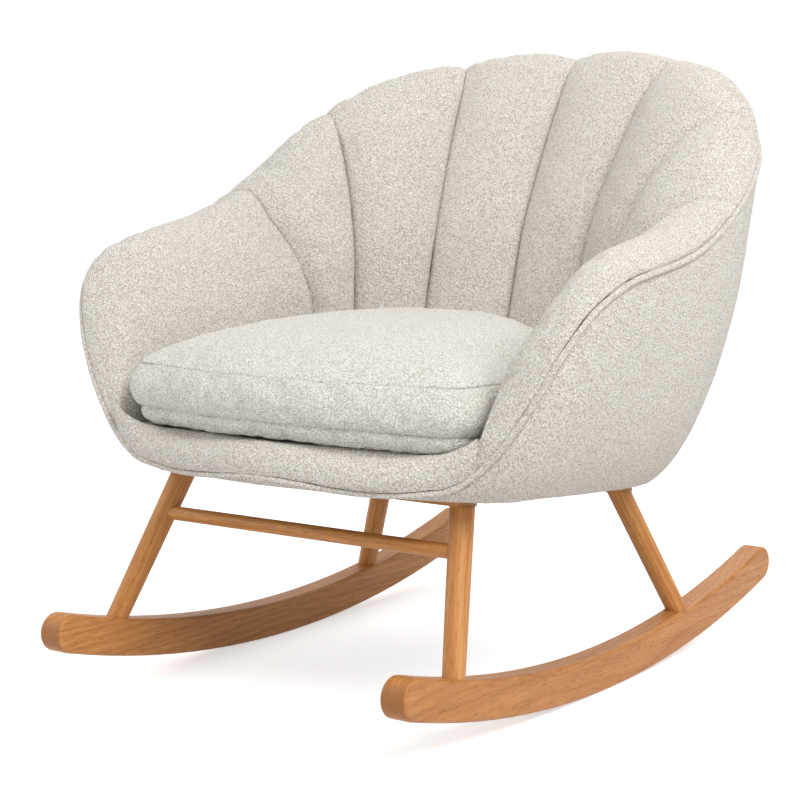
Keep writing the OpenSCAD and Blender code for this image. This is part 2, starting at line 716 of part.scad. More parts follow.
// Piping: a round cord on the seam between the outer cover and the padding
module welt_piping() {
    sides = 6;
    path = [for (f = angles) wall_pt(f, welt_z(f), welt_d * 0.2)];
    m = len(path);
    color(cloth) lean() loft([for (i = [0 : m - 1])
        let(t = path[(i + 1) % m] - path[(i + m - 1) % m], w = t / norm(t),
            out = [sin(angles[i]), -cos(angles[i]), 0], a = cross(w, out), u = a / norm(a), v = cross(u, w))
        [for (k = [0 : sides - 1]) path[i] + welt_d / 2 * (u * cos(360 * k / sides) + v * sin(360 * k / sides))]],
        closed = true);
}

// Padded lip over the front seat rail; its ends meet the arms' sections
module front_lip_pad() {
    skin = 7;
    front_t = 9;
    end = 0.04;
    fs = [for (f = half_angles) if (f < lip_end - 1) f, lip_end - end];
    rows = concat([for (i = [len(fs) - 1 : -1 : 1]) -fs[i]], fs);
    color(cloth) lean() loft([for (f = rows)
        let(zw = welt_z(f) + welt_room(f), zc = crest_z(f),
            crest_in = mix(lip_top_in, roll_in(lip_end), smooth((abs(f) - 35) / (lip_end - 35))),
            inner_r = wall_r(f, lip_z, lip_w))
        concat([for (i = [0 : skin - 1]) let(a = 90 * i / (skin - 1))
                    wall_pt(f, mix(zw, zc, sin(a)), crest_in * (1 - cos(a)))],
               [wall_pt(f, lip_z, 2.2 * crest_in), at(f, inner_r, lip_z), at(f, inner_r, deck_z),
                wall_pt(f, deck_z, 2 * crest_in)],
               [for (i = [skin - 1 : -1 : 0]) let(a = 90 * i / (skin - 1))
                    wall_pt(f, mix(zw, deck_z, sin(a)), mix(front_t, crest_in, 1 - cos(a)))])]);
}

// Padding rows between two angles: covered skin first, then its back
function pad_row(fa, u, top) =
    let(ts = [for (i = [0 : skin_n - 1]) 2 * i / (skin_n - 1)], f0 = fa(0),
        thin = clamp01((wall_r(f0, lip_z, 0) - well_r(f0, lip_z)) / 60))
    concat([for (t = ts) let(z0 = inside_pt(f0, t, 0, 0, 0, strap_z)[2], f = fa(z0),
                             p = inside_pt(f, t, 0, 0, 0, strap_z), s = swell(u, t, top),
                             r = norm([p[0], p[1] - tub_y]) + s[0]) at(f, r, p[2] + s[1])],
           [for (i = [skin_n - 1 : -1 : 0]) let(t = ts[i],
                             z0 = inside_pt(f0, t, pad_t, pad_foot_t, pad_edge_t, strap_z)[2], f = fa(z0))
               inside_pt(f, t, pad_t * thin, pad_foot_t * thin, pad_edge_t * thin, strap_z)]);

module arm_pad(side) {
    gap = 0.05;
    fs = concat([lip_end + gap], [for (f = half_angles) if (f > lip_end + 1 && f < arm_back_seam - 1) f],
                [arm_back_seam - gap]);
    color(cloth) lean() on_side(side)
        loft([for (f = fs) pad_row(function (z) f, 0, 0)]);
}

module back_channel(k) {
    across = 5;
    gap = 0.07;
    top = top_rise * [0, 0.7, 1, 1, 0.7, 0][k];
    color(cloth) lean() loft([for (i = [0 : across]) let(u = i / across)
        pad_row(function (z) mix(seam_angle(k, z) + gap, seam_angle(k + 1, z) - gap, u), u, top)]);
}

// Plan radius of the cushion round the tub's axis: square in front, and it follows the back behind
function cushion_side(f) = (well_w / 2 - cushion_gap) / (1 - well_splay * min(1.3, abs(cos(f) / sin(f))));
function cushion_r(f, inset) = cos(f) > 0
    ? oval(f, (sin(f) == 0 ? well_w / 2 : cushion_side(f)) - inset,
           front_size(lip_z, f) - cushion_setback - inset, cushion_square)
    : well_r(f, lip_z) - cushion_gap - inset - channel_rise * smooth((from_front(f) - 88) / 12);
cushion_angles = [for (i = [0 : 39]) 9 * i];
module cushion_body() {
    low = cushion_z + cushion_under;
    high = low + cushion_box_h;
    // Rings from the underside's middle up to the crown: level and inset of each
    rings = concat(
        [[cushion_z, cushion_swell + cushion_under_in, 0.6]],
        [for (i = [0 : 3]) let(a = 25 * i)
            [cushion_z + (cushion_under - 1) * (1 - cos(a)), cushion_swell + cushion_under_in * (1 - sin(a)), 1]],
        [[low, cushion_swell + seam_depth, 1]],
        [for (i = [0 : 3]) let(k = (i + 0.5) / 4)
            [mix(low, high, k), cushion_swell * (1 - sin(180 * k)), 1]],
        [[high, cushion_swell + seam_depth, 1]],
        [for (i = [0 : 5]) let(k = 1 - pow((i + 0.35) / 6, 1.6))
            [high + cushion_crown * pow(1 - pow(k, 3.2), 0.62), cushion_swell, k]]);
    n = len(cushion_angles);
    m = len(rings);
    front_y = tub_y - cushion_r(0, 0);
    length = cushion_r(0, 0) + cushion_r(180, 0);
    function wedged(p) = [p[0], p[1], mix(cushion_z, p[2], 1 + cushion_wedge * (p[1] - front_y) / length)];
    points = concat([for (r = rings, f = cushion_angles) wedged(at(f, r[2] * cushion_r(f, r[1]), r[0]))],
                    [at(0, 0, cushion_z), wedged(at(0, 0, high + cushion_crown))]);
    sides = [for (i = [0 : m - 2], j = [0 : n - 1])
        let(a = i * n + j, b = i * n + (j + 1) % n, c = (i + 1) * n + (j + 1) % n, d = (i + 1) * n + j)
        each [[a, c, b], [a, d, c]]];
    ends = [for (j = [0 : n - 1]) each [[m * n, j, (j + 1) % n],
        [m * n + 1, (m - 1) * n + (j + 1) % n, (m - 1) * n + j]]];
    polyhedron(points = points, faces = concat(sides, ends), convexity = 6);
}

module core_block(extra) {
    low = cushion_z + core_wrap / 2;
    high = cushion_z + cushion_under + cushion_box_h - core_wrap / 4;
    translate([0, 0, low - extra]) linear_extrude(high - low + 2 * extra)
        polygon([for (f = cushion_angles) let(p = at(f, cushion_r(f, core_wrap - extra), 0)) [p[0], p[1]]]);
}

module cushion_cover() {
    color("whitesmoke") lean() difference() {
        cushion_body();
        core_block(soft_gap);
    }
}

module cushion_core() {
    color(foam) lean() core_block(0);
}

rocker(-1);  // rocker_left
rocker(1);  // rocker_right
leg(-1, false);  // front_left_leg
leg(1, false);  // front_right_leg
leg(-1, true);  // rear_left_leg
leg(1, true);  // rear_right_leg
front_stretcher();
cross_rail(false);  // front_cross_rail
cross_rail(true);  // rear_cross_rail
rail_bolts();
t_nuts();
dust_cover();
bottom_board();
front_seat_rail();
rear_seat_rail();
side_seat_rail(-1);  // left_seat_rail
side_seat_rail(1);  // right_seat_rail
corner_blocks();
long_seat_straps();
cross_seat_straps();
seat_deck_pad();
rib(-rib_angles[0]);  // left_rib_1
rib(-rib_angles[1]);  // left_rib_2
rib(-rib_angles[2]);  // left_rib_3
rib(-rib_angles[3]);  // left_rib_4
rib(-rib_angles[4]);  // left_rib_5
rib(rib_angles[0]);  // right_rib_1
rib(rib_angles[1]);  // right_rib_2
rib(rib_angles[2]);  // right_rib_3
rib(rib_angles[3]);  // right_rib_4
rib(rib_angles[4]);  // right_rib_5
hoop(hoop_z, lower_hoop_start);  // lower_hoop
hoop(top_hoop_z, upper_hoop_start);  // upper_hoop
outer_cover();
welt_piping();
front_lip_pad();
arm_pad(-1);  // left_arm_pad
arm_pad(1);  // right_arm_pad
back_channel(0);  // back_channel_1
back_channel(1);  // back_channel_2
back_channel(2);  // back_channel_3
back_channel(3);  // back_channel_4
back_channel(4);  // back_channel_5
back_channel(5);  // back_channel_6
cushion_cover();
cushion_core();
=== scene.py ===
import math
import bmesh
import bpy
import numpy as np
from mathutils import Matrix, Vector
from mathutils.geometry import delaunay_2d_cdt
from mathutils.kdtree import KDTree


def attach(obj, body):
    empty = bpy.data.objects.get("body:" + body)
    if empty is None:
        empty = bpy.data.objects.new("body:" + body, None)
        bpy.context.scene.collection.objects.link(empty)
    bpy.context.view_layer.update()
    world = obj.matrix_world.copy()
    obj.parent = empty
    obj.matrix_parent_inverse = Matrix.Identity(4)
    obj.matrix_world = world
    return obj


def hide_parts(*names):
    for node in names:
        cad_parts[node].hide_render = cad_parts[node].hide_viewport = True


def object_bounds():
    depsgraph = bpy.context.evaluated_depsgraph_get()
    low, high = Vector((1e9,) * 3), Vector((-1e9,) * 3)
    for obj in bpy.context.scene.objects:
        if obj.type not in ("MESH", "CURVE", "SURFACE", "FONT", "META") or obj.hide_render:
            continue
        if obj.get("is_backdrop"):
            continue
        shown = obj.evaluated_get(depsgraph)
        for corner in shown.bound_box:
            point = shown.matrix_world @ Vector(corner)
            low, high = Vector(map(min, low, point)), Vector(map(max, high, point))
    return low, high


# Upholstered tub rocker: boucle tub with a loose cushion on an oak base. The chair faces -Y.
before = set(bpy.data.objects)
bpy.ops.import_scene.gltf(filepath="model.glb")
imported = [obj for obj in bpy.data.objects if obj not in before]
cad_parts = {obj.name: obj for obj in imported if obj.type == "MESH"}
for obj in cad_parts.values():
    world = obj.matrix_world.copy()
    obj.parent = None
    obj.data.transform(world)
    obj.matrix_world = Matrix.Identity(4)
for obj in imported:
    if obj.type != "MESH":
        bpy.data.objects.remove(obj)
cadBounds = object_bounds()
scene = bpy.context.scene
mm = 0.001
print("frame loaded:", len(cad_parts), "nodes")


def mix(a, b, k):
    return a + (b - a) * k


def smooth(x):
    c = np.clip(x, 0.0, 1.0)
    return c * c * (3 - 2 * c)


def step(x, start, span):  # climbs softly from 0 at start to 1 at start + span
    return smooth((x - start) / span)


def hexColour(text):  # sRGB hex to the linear colour that the sockets take
    parts = [int(text[i:i + 2], 16) / 255 for i in (0, 2, 4)]
    return (*[v / 12.92 if v <= 0.04045 else ((v + 0.055) / 1.055) ** 2.4 for v in parts], 1.0)


# one node, its settings, its unlinked inputs, its links and, for a colour ramp, its stops
def addNode(tree, kind, settings=(), values=(), links=(), stops=()):
    node = tree.nodes.new("ShaderNode" + kind)
    for name, value in settings:
        setattr(node, name, value)
    for socket, value in values:
        node.inputs[socket].default_value = value
    for socket, source in links:
        tree.links.new(source, node.inputs[socket])
    for _ in stops[2:]:  # a new ramp has two stops already
        node.color_ramp.elements.new(0.5)
    for i, (place, colour) in enumerate(stops):
        node.color_ramp.elements[i].position = place
        grey = (colour, colour, colour, 1.0)
        node.color_ramp.elements[i].color = hexColour(colour) if isinstance(colour, str) else grey
    return node


def newMaterial(name, constants):
    material = bpy.data.materials.new(name)
    material.use_nodes = True
    tree = material.node_tree
    tree.nodes.clear()
    shader = addNode(tree, "BsdfPrincipled", values=constants.items())
    addNode(tree, "OutputMaterial", links=[("Surface", shader.outputs[0])])
    return material, tree, shader


def dress(tree, shader, colour, height, strength, depth, sunk=False):  # colour and relief of a surface
    relief = addNode(tree, "Bump", [("invert", sunk)], [("Strength", strength), ("Distance", depth)],
                     [("Height", height)])
    tree.links.new(colour.outputs[0], shader.inputs["Base Color"])
    tree.links.new(relief.outputs[0], shader.inputs["Normal"])


# camera: fitted to the rockers, legs and stretcher in the photograph
cameraFit = {
    "place": (1.4051, -2.0679, 0.6510),
    "towards": (-0.5715, 0.8106, -0.1278),
    "lens": 90.42,
}
camera = bpy.data.objects.new("camera", bpy.data.cameras.new("camera"))
scene.collection.objects.link(camera)
camera.location = cameraFit["place"]
camera.rotation_euler = Vector(cameraFit["towards"]).to_track_quat("-Z", "Y").to_euler()
camera.data.lens = cameraFit["lens"]
camera.data.sensor_width = 36
scene.camera = camera
print("camera set")


# materials
# Boucle: a looped wool yarn, woven and left unshorn. Its loops stand up as round knots about 2 mm
# across with short curled yarns over them, so side light picks out a fine even relief; painted shade
# makes the gaps between the loops a little darker and a painted highlight makes the loop tops lighter.
boucle = {
    "loop": 2.2 * mm,
    "curl": 2.1 * mm,
    "fuzz": 1 * mm,
    "sway": 1.6 * mm,
    "height": 1.4 * mm,
    "curlShare": 0.45,
    "fuzzShare": 0.35,
    "paintedLightShare": 0.62,
    "yarnHalf": 0.13,
    # the three colours of each piece: painted shade in the gaps, the yarn's colour, and a painted highlight
    # on the loop tops
    "tub": ("C7BDAD", "F3EDE3", "FFFDF7"),
    # the cushion's colours are the same boucle painted lighter, as painted light for its top, which faces the
    # lamps
    "cushion": ("D0C8BA", "F8F4ED", "FFFEFA"),
}


# yarns are drawn as the lines where a noise crosses its middle value
def yarnLines(tree, place, size, offset):
    moved = addNode(tree, "VectorMath", [("operation", "ADD")], [(1, offset)], [(0, place)])
    field = addNode(tree, "TexNoise", values=[("Scale", 1 / size), ("Detail", 0.6), ("Distortion", 1.1)],
                    links=[("Vector", moved.outputs[0])])
    off = addNode(tree, "Math", [("operation", "SUBTRACT")], [(1, 0.5)], [(0, field.outputs["Fac"])])
    away = addNode(tree, "Math", [("operation", "ABSOLUTE")], links=[(0, off.outputs[0])])
    return addNode(tree, "MapRange", [("interpolation_type", "SMOOTHSTEP")],
                   [("From Min", 0.0), ("From Max", boucle["yarnHalf"]), ("To Min", 1.0), ("To Max", 0.0)],
                   [("Value", away.outputs[0])]).outputs[0]


def boucleMaterial(name, gap, body, paintedHighlight):
    material, tree, shader = newMaterial(name, {"Roughness": 0.92, "IOR": 1.45, "Specular IOR Level": 0.2,
                                                "Sheen Weight": 0.15, "Sheen Roughness": 0.5})
    place = addNode(tree, "TexCoord").outputs["Object"]
    drift = addNode(tree, "TexNoise", values=[("Scale", 0.5 / boucle["loop"]), ("Detail", 1.0)],
                    links=[("Vector", place)])
    bent = addNode(tree, "VectorMath", [("operation", "MULTIPLY_ADD")], [(1, (boucle["sway"],) * 3)],
                   [(0, drift.outputs["Color"]), (2, place)])
    knots = addNode(tree, "TexVoronoi", [("feature", "SMOOTH_F1")],
                    [("Scale", 1 / boucle["loop"]), ("Smoothness", 0.35)], [("Vector", bent.outputs[0])])
    dome = addNode(tree, "MapRange", [],
                   [("From Min", 0.1), ("From Max", 0.75), ("To Min", 1.0), ("To Max", 0.0)],
                   [("Value", knots.outputs["Distance"])])
    curls = yarnLines(tree, bent.outputs[0], boucle["curl"], (0.31, 0.17, 0.23))
    fuzz = addNode(tree, "TexNoise", values=[("Scale", 1 / boucle["fuzz"]), ("Detail", 1.0)],
                   links=[("Vector", place)])
    looped = addNode(tree, "Math", [("operation", "MULTIPLY_ADD")], [(1, boucle["curlShare"])],
                     [(0, curls), (2, dome.outputs[0])])
    height = addNode(tree, "Math", [("operation", "MULTIPLY_ADD")], [(1, boucle["fuzzShare"])],
                     [(0, fuzz.outputs["Fac"]), (2, looped.outputs[0])])
    # painted shade and highlight: the relief's height also sets the colour, a little darker in the gaps and
    # lighter on the loop tops
    share = addNode(tree, "Math", [("operation", "MULTIPLY")], [(1, boucle["paintedLightShare"])],
                    [(0, height.outputs[0])])
    colour = addNode(tree, "ValToRGB", links=[("Fac", share.outputs[0])],
                     stops=[(0.2, gap), (0.5, body), (0.85, paintedHighlight)])
    dress(tree, shader, colour, height.outputs[0], 1.0, boucle["height"])
    return material


tubBoucle = boucleMaterial("wool boucle, tub", *boucle["tub"])
# a lighter copy of the same boucle for the cushion: painted light, standing in for more light on its top
litCushionBoucle = boucleMaterial("wool boucle, cushion, painted lighter", *boucle["cushion"])

# Oiled oak: sawn and sanded along the grain, so it shows growth rings as long soft stripes, fine
# dark pores drawn out lengthwise, a browner end grain and a satin gloss.
oak = {
    "light": "D79B5C",
    "body": "C48444",
    "dark": "9A5F2B",
    "pore": "7A4A22",
    "end": "8E5A2C",
    "ring": 6.5 * mm,
    "pithAway": 60 * mm,
    "ringSway": 26 * mm,
    "swayGrain": (45 * mm, 320 * mm),
    "toneGrain": (14 * mm, 210 * mm),
    "fibreGrain": (1.3 * mm, 40 * mm),
    "poreGrain": (0.8 * mm, 16 * mm),
    "poreDeep": 0.12 * mm,
}


def oakMaterial(name, grain, shift, paintedShade=0.0):  # the last argument is painted shade: how much darker this board is painted, to stand in for less light on it
    material, tree, shader = newMaterial(name, {"IOR": 1.5, "Specular IOR Level": 0.35})
    turn = Vector(grain).rotation_difference(Vector((0, 1, 0))).to_euler()
    place = addNode(tree, "TexCoord").outputs["Object"]
    along = addNode(tree, "Mapping", values=[("Rotation", turn), ("Location", shift)],
                    links=[("Vector", place)])

    def grainNoise(wide, long, detail):  # noise drawn out along the grain
        drawn = addNode(tree, "Mapping", values=[("Scale", (1 / wide, 1 / long, 1 / wide))],
                        links=[("Vector", along.outputs[0])])
        return addNode(tree, "TexNoise", values=[("Scale", 1.0), ("Detail", detail)],
                       links=[("Vector", drawn.outputs[0])])

    sway = grainNoise(*oak["swayGrain"], 2.0)
    bent = addNode(tree, "VectorMath", [("operation", "MULTIPLY_ADD")],
                   [(1, (oak["ringSway"], 0.0, oak["ringSway"]))],
                   [(0, sway.outputs["Color"]), (2, along.outputs[0])])
    flat = addNode(tree, "VectorMath", [("operation", "MULTIPLY_ADD")],
                   [(1, (1, 0.03, 1)), (2, (oak["pithAway"], 0, oak["pithAway"]))], [(0, bent.outputs[0])])
    radius = addNode(tree, "VectorMath", [("operation", "LENGTH")], links=[(0, flat.outputs[0])])
    turns = addNode(tree, "Math", [("operation", "MULTIPLY")], [(1, 1 / oak["ring"])],
                    [(0, radius.outputs["Value"])])
    ring = addNode(tree, "Math", [("operation", "FRACT")], links=[(0, turns.outputs[0])])
    rings = addNode(tree, "ValToRGB", links=[("Fac", ring.outputs[0])],
                    stops=[(0.0, oak["body"]), (0.35, oak["light"]), (0.8, oak["body"]),
                           (0.93, oak["dark"]), (1.0, oak["body"])])
    tone = grainNoise(*oak["toneGrain"], 3.0)
    plain = addNode(tree, "ValToRGB", links=[("Fac", tone.outputs["Fac"])],
                    stops=[(0.3, oak["dark"]), (0.5, oak["body"]), (0.7, oak["light"])])
    wood = addNode(tree, "MixRGB", values=[("Fac", 0.5)],
                   links=[("Color1", rings.outputs[0]), ("Color2", plain.outputs[0])])
    # painted shade: the whole board is mixed toward the dark oak colour by the last argument
    wood = addNode(tree, "MixRGB", values=[("Fac", paintedShade), ("Color2", hexColour(oak["dark"]))],
                   links=[("Color1", wood.outputs[0])])
    fibres = addNode(tree, "ValToRGB", links=[("Fac", grainNoise(*oak["fibreGrain"], 2.0).outputs["Fac"])],
                     stops=[(0.3, 0.55), (0.7, 0.0)])
    fibred = addNode(tree, "MixRGB", values=[("Color2", hexColour(oak["dark"]))],
                     links=[("Fac", fibres.outputs[0]), ("Color1", wood.outputs[0])])
    pores = grainNoise(*oak["poreGrain"], 1.0)
    pore = addNode(tree, "ValToRGB", links=[("Fac", pores.outputs["Fac"])], stops=[(0.3, 0.7), (0.38, 0.0)])
    finished = addNode(tree, "MixRGB", values=[("Color2", hexColour(oak["pore"]))],
                       links=[("Fac", pore.outputs[0]), ("Color1", fibred.outputs[0])])
    facing = addNode(tree, "VectorMath", [("operation", "DOT_PRODUCT")], [(1, Vector(grain).normalized())],
                     [(0, addNode(tree, "TexCoord").outputs["Normal"])])
    square = addNode(tree, "Math", [("operation", "ABSOLUTE")], links=[(0, facing.outputs["Value"])])
    endGrain = addNode(tree, "ValToRGB", links=[("Fac", square.outputs[0])], stops=[(0.55, 0.0), (0.9, 0.75)])
    finished = addNode(tree, "MixRGB", values=[("Color2", hexColour(oak["end"]))],
                       links=[("Fac", endGrain.outputs[0]), ("Color1", finished.outputs[0])])
    dress(tree, shader, finished, pore.outputs[0], 0.4, oak["poreDeep"], True)
    gloss = addNode(tree, "ValToRGB", links=[("Fac", pores.outputs["Fac"])], stops=[(0.3, 0.6), (0.5, 0.42)])
    tree.links.new(gloss.outputs[0], shader.inputs["Roughness"])
    return material


# each turned piece has its grain along its own axis; the rockers are sawn with the grain level
oakPieces = {
    # the rockers' last number is painted shade: it darkens them, the right one most, in place of less light
    # falling on them
    "rocker_left": oakMaterial("oiled oak, left rocker", (0, 1, 0), (0.05, 0.1, 0.02), 0.1),
    "rocker_right": oakMaterial("oiled oak, right rocker", (0, 1, 0), (0.0, 0.6, 0.01), 0.3),
    "front_left_leg": oakMaterial("oiled oak, front left leg", (53.4, 101.0, 225.9), (0.02, 0.2, 0.0)),
    "front_right_leg": oakMaterial("oiled oak, front right leg", (-53.4, 101.0, 225.9), (0.0, 0.9, 0.03)),
    "rear_left_leg": oakMaterial("oiled oak, rear left leg", (100.4, -66.0, 243.3), (0.03, 0.5, 0.01)),
    "rear_right_leg": oakMaterial("oiled oak, rear right leg", (-100.4, -66.0, 243.3), (0.01, 0.7, 0.02)),
    "front_stretcher": oakMaterial("oiled oak, stretcher", (1, 0, 0), (0.02, 0.4, 0.01)),
}
crossRailOak = oakMaterial("oiled oak, cross rails", (1, 0, 0), (0.0, 0.1, 0.03))
oakPieces["front_cross_rail"] = oakPieces["rear_cross_rail"] = crossRailOak


def plainMaterial(name, colour, roughness, metallic, grit, depth):
    material, tree, shader = newMaterial(name, {"Roughness": roughness, "Metallic": metallic})
    place = addNode(tree, "TexCoord").outputs["Object"]
    speck = addNode(tree, "TexNoise", values=[("Scale", 1 / grit), ("Detail", 3.0), ("Roughness", 0.6)],
                    links=[("Vector", place)])
    shade = addNode(tree, "ValToRGB", links=[("Fac", speck.outputs["Fac"])],
                    stops=[(0.3, colour[0]), (0.7, colour[1])])
    dress(tree, shader, shade, speck.outputs["Fac"], 0.5, depth)
    return material


# plain weave: warp and weft threads rise over each other at the cloth's own pitch
def weaveMaterial(name, dark, light, pitch, depth, roughness):
    material, tree, shader = newMaterial(name, {"Roughness": roughness, "Sheen Weight": 0.1})
    place = addNode(tree, "TexCoord").outputs["Object"]
    axes = addNode(tree, "SeparateXYZ", links=[("Vector", place)])

    def threads(axis):
        turn = addNode(tree, "Math", [("operation", "MULTIPLY")], [(1, 2 * math.pi / pitch)],
                       [(0, axes.outputs[axis])])
        return addNode(tree, "Math", [("operation", "SINE")], links=[(0, turn.outputs[0])]).outputs[0]

    crossed = addNode(tree, "Math", [("operation", "MULTIPLY")], links=[(0, threads("X")), (1, threads("Y"))])
    fibre = addNode(tree, "TexNoise", values=[("Scale", 3 / pitch), ("Detail", 2.0)],
                    links=[("Vector", place)])
    height = addNode(tree, "Math", [("operation", "MULTIPLY_ADD")], [(1, 0.4)],
                     [(0, crossed.outputs[0]), (2, fibre.outputs["Fac"])])
    shade = addNode(tree, "ValToRGB", links=[("Fac", height.outputs[0])], stops=[(0.2, dark), (0.85, light)])
    dress(tree, shader, shade, height.outputs[0], 0.7, depth)
    return material


# Spun-bonded dust cloth is matt and fibrous, zinc plate slightly mottled, birch ply pale and dry.
dustCloth = plainMaterial("spun-bonded dust cloth", ("1B1B1C", "2C2C2E"), 0.95, 0.0, 1.2 * mm, 0.2 * mm)
zincPlate = plainMaterial("zinc-plated steel", ("A9ADB0", "C4C7C9"), 0.32, 1.0, 2.5 * mm, 0.02 * mm)
birchPly = plainMaterial("birch plywood", ("C7A272", "DDBC8D"), 0.7, 0.0, 3 * mm, 0.1 * mm)
webbing = weaveMaterial("woven elastic webbing", "39402E", "646C50", 2.4 * mm, 0.4 * mm, 0.8)
deckCloth = weaveMaterial("calico deck cloth", "C9C1B2", "E6E0D4", 1.1 * mm, 0.15 * mm, 0.9)
foamStuff = plainMaterial("polyurethane foam", ("D9C58F", "EAD9A8"), 0.95, 0.0, 1.5 * mm, 0.5 * mm)
print("materials made")

nodeMaterials = {**oakPieces, "rail_bolts": zincPlate, "t_nuts": zincPlate}
for nodeName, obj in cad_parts.items():
    for slot in obj.material_slots:
        slot.material = nodeMaterials.get(nodeName, birchPly)


# the tub's section, in millimetres and degrees from the front, in the frame that leans back with
# the tub; rim has the piping and the roll above it, well the hollow that holds the cushion
tub = {
    "low": 236, "width": 766, "refLevel": 500, "axisY": -60, "backReach": 324, "frontReach": 296,
    "frontBow": 40, "sideTuck": 114, "frontTuck": 36, "tuckRise": 300, "sideFlare": 0.06,
    "backLean": 0.2, "frontSquare": 6.5, "backSquare": 2.3, "hemRound": 12, "recline": 5,
}
rim = {
    "frontWelt": 246, "armWelt": 484, "backWelt": 786, "weltWide": 7, "weltGap": 0.1,
    "pinch": 2.4, "pinchSpan": 0.07, "noseFill": 14, "noseSpan": 4.5, "noseFillTop": 330, "noseFillFade": 80,
    "armRiseFrom": 39, "armRiseTo": 65.5, "backRiseFrom": 66, "backRiseSpan": 110, "backRisePower": 0.9,
    "lipEnd": 44, "noseFull": 48, "noseFade": 52, "noseEnd": 61, "dip": 94, "shoulder": 121,
    "noseRise": 62, "armRise": 51, "dipRise": 16, "shoulderRise": 52, "backRise": 14,
    "armIn": 42, "backIn": 48, "inFrom": 90, "inSpan": 70,
}
# levels of the piping and of the roll's top as sewn, by angle from the front
pipeTop = ((0, 246), (36, 246), (39.8, 251), (43.4, 266), (47.2, 297), (50.5, 340), (54.3, 400), (58.7, 449),
           (62.2, 469), (66.5, 485), (71.7, 495), (79, 507), (85.6, 521), (90.4, 536), (96, 558), (102, 584),
           (114, 634), (128, 680), (140, 722), (155, 762), (168, 781), (180, 786))
rollTop = ((44, 309), (46, 338), (48, 370), (52, 421), (56.5, 465), (61, 497), (66, 516), (72, 529),
           (78, 540), (86, 555), (94, 574), (104, 612), (114, 670), (124, 718), (140, 760), (160, 787),
           (180, 790))
well = {
    "width": 484, "splay": 0.05, "back": 191, "level": 430, "lean": 0.2, "armFace": 155,
    "backFace": 260, "faceFrom": 80, "faceSpan": 80, "faceSquare": 1.6, "dropPower": 1.6,
    "padThick": 28, "footThick": 13, "edgeThick": 13,
    "thickSpan": 90, "lipLevel": 287, "lipWide": 72, "foot": 275.5, "deck": 279.1,
}


def fromFront(f):  # angle from the front, the same on both sides
    return np.where(np.abs(f) > 180, 360 - np.abs(f), np.abs(f))


def sinD(f):
    return np.sin(np.radians(f))


def cosD(f):
    return np.cos(np.radians(f))


def tuckIn(z):  # how far the tub's underside draws in, as a share
    u = np.clip((tub["low"] + tub["tuckRise"] - z) / tub["tuckRise"], 0, 1)
    return 1 - np.sqrt(1 - u * u)


def hemIn(z):
    u = np.clip((tub["low"] + tub["hemRound"] - z) / tub["hemRound"], 0, 1)
    return tub["hemRound"] * (1 - np.sqrt(1 - u * u))


def oval(f, a, b, n):
    return ((np.abs(sinD(f)) / a) ** n + (np.abs(cosD(f)) / b) ** n) ** (-1 / n)


def wallR(f, z, inset):  # the tub's outline at a level, as a radius
    above = z - tub["refLevel"]
    side = tub["width"] / 2 + tub["sideFlare"] * above - tub["sideTuck"] * tuckIn(z) - hemIn(z)
    back = tub["backReach"] + tub["backLean"] * above - hemIn(z)
    front = (tub["frontReach"] + tub["frontBow"] * np.maximum(0, cosD(2 * f))
             - tub["frontTuck"] * tuckIn(z) - hemIn(z))
    return np.where(cosD(f) > 0, oval(f, side - inset, front - inset, tub["frontSquare"]),
                    oval(f, side - inset, back - inset, tub["backSquare"]))


def pointAt(f, r, z):
    f, r, z = np.broadcast_arrays(f, r, z)
    return np.stack([r * sinD(f), tub["axisY"] - r * cosD(f), z], -1).astype(float)


def curveThrough(x, knots):  # smooth curve through the knots, level at its last one
    at, height = np.array(knots, float).T
    slope = np.gradient(height, at)
    slope[[0, -1]] = 0
    i = np.clip(np.searchsorted(at, x) - 1, 0, len(at) - 2)
    wide = at[i + 1] - at[i]
    k = np.clip((x - at[i]) / wide, 0, 1)
    return (mix(height[i], height[i + 1], smooth(k)) + wide * k * (1 - k) ** 2 * slope[i]
            - wide * k ** 2 * (1 - k) * slope[i + 1])


def weltLevel(f):  # height of the piping
    return curveThrough(fromFront(f), pipeTop)


def woodWelt(f):  # the same as the solids have it
    g = fromFront(f)
    arm = smooth((g - rim["armRiseFrom"]) / (rim["armRiseTo"] - rim["armRiseFrom"]))
    back = smooth(np.maximum(0, (g - rim["backRiseFrom"]) / rim["backRiseSpan"]) ** rim["backRisePower"])
    return (rim["frontWelt"] + (rim["armWelt"] - rim["frontWelt"]) * arm
            + (rim["backWelt"] - rim["armWelt"]) * back)


def weltRoom(f):  # half the piping's width, more where it climbs
    a = pointAt(f - 0.5, wallR(f - 0.5, weltLevel(f - 0.5), 0), weltLevel(f - 0.5))
    b = pointAt(f + 0.5, wallR(f + 0.5, weltLevel(f + 0.5), 0), weltLevel(f + 0.5))
    slope = (b - a)[..., 2] / np.hypot((b - a)[..., 0], (b - a)[..., 1])
    return (rim["weltWide"] / 2 + rim["weltGap"]) * np.sqrt(1 + slope ** 2)


def crestLevel(f):  # top of the roll as sewn
    g = fromFront(f)
    overLip = weltLevel(f) + well["lipLevel"] - rim["frontWelt"]
    return np.where(g < rim["lipEnd"], overLip, curveThrough(g, rollTop))


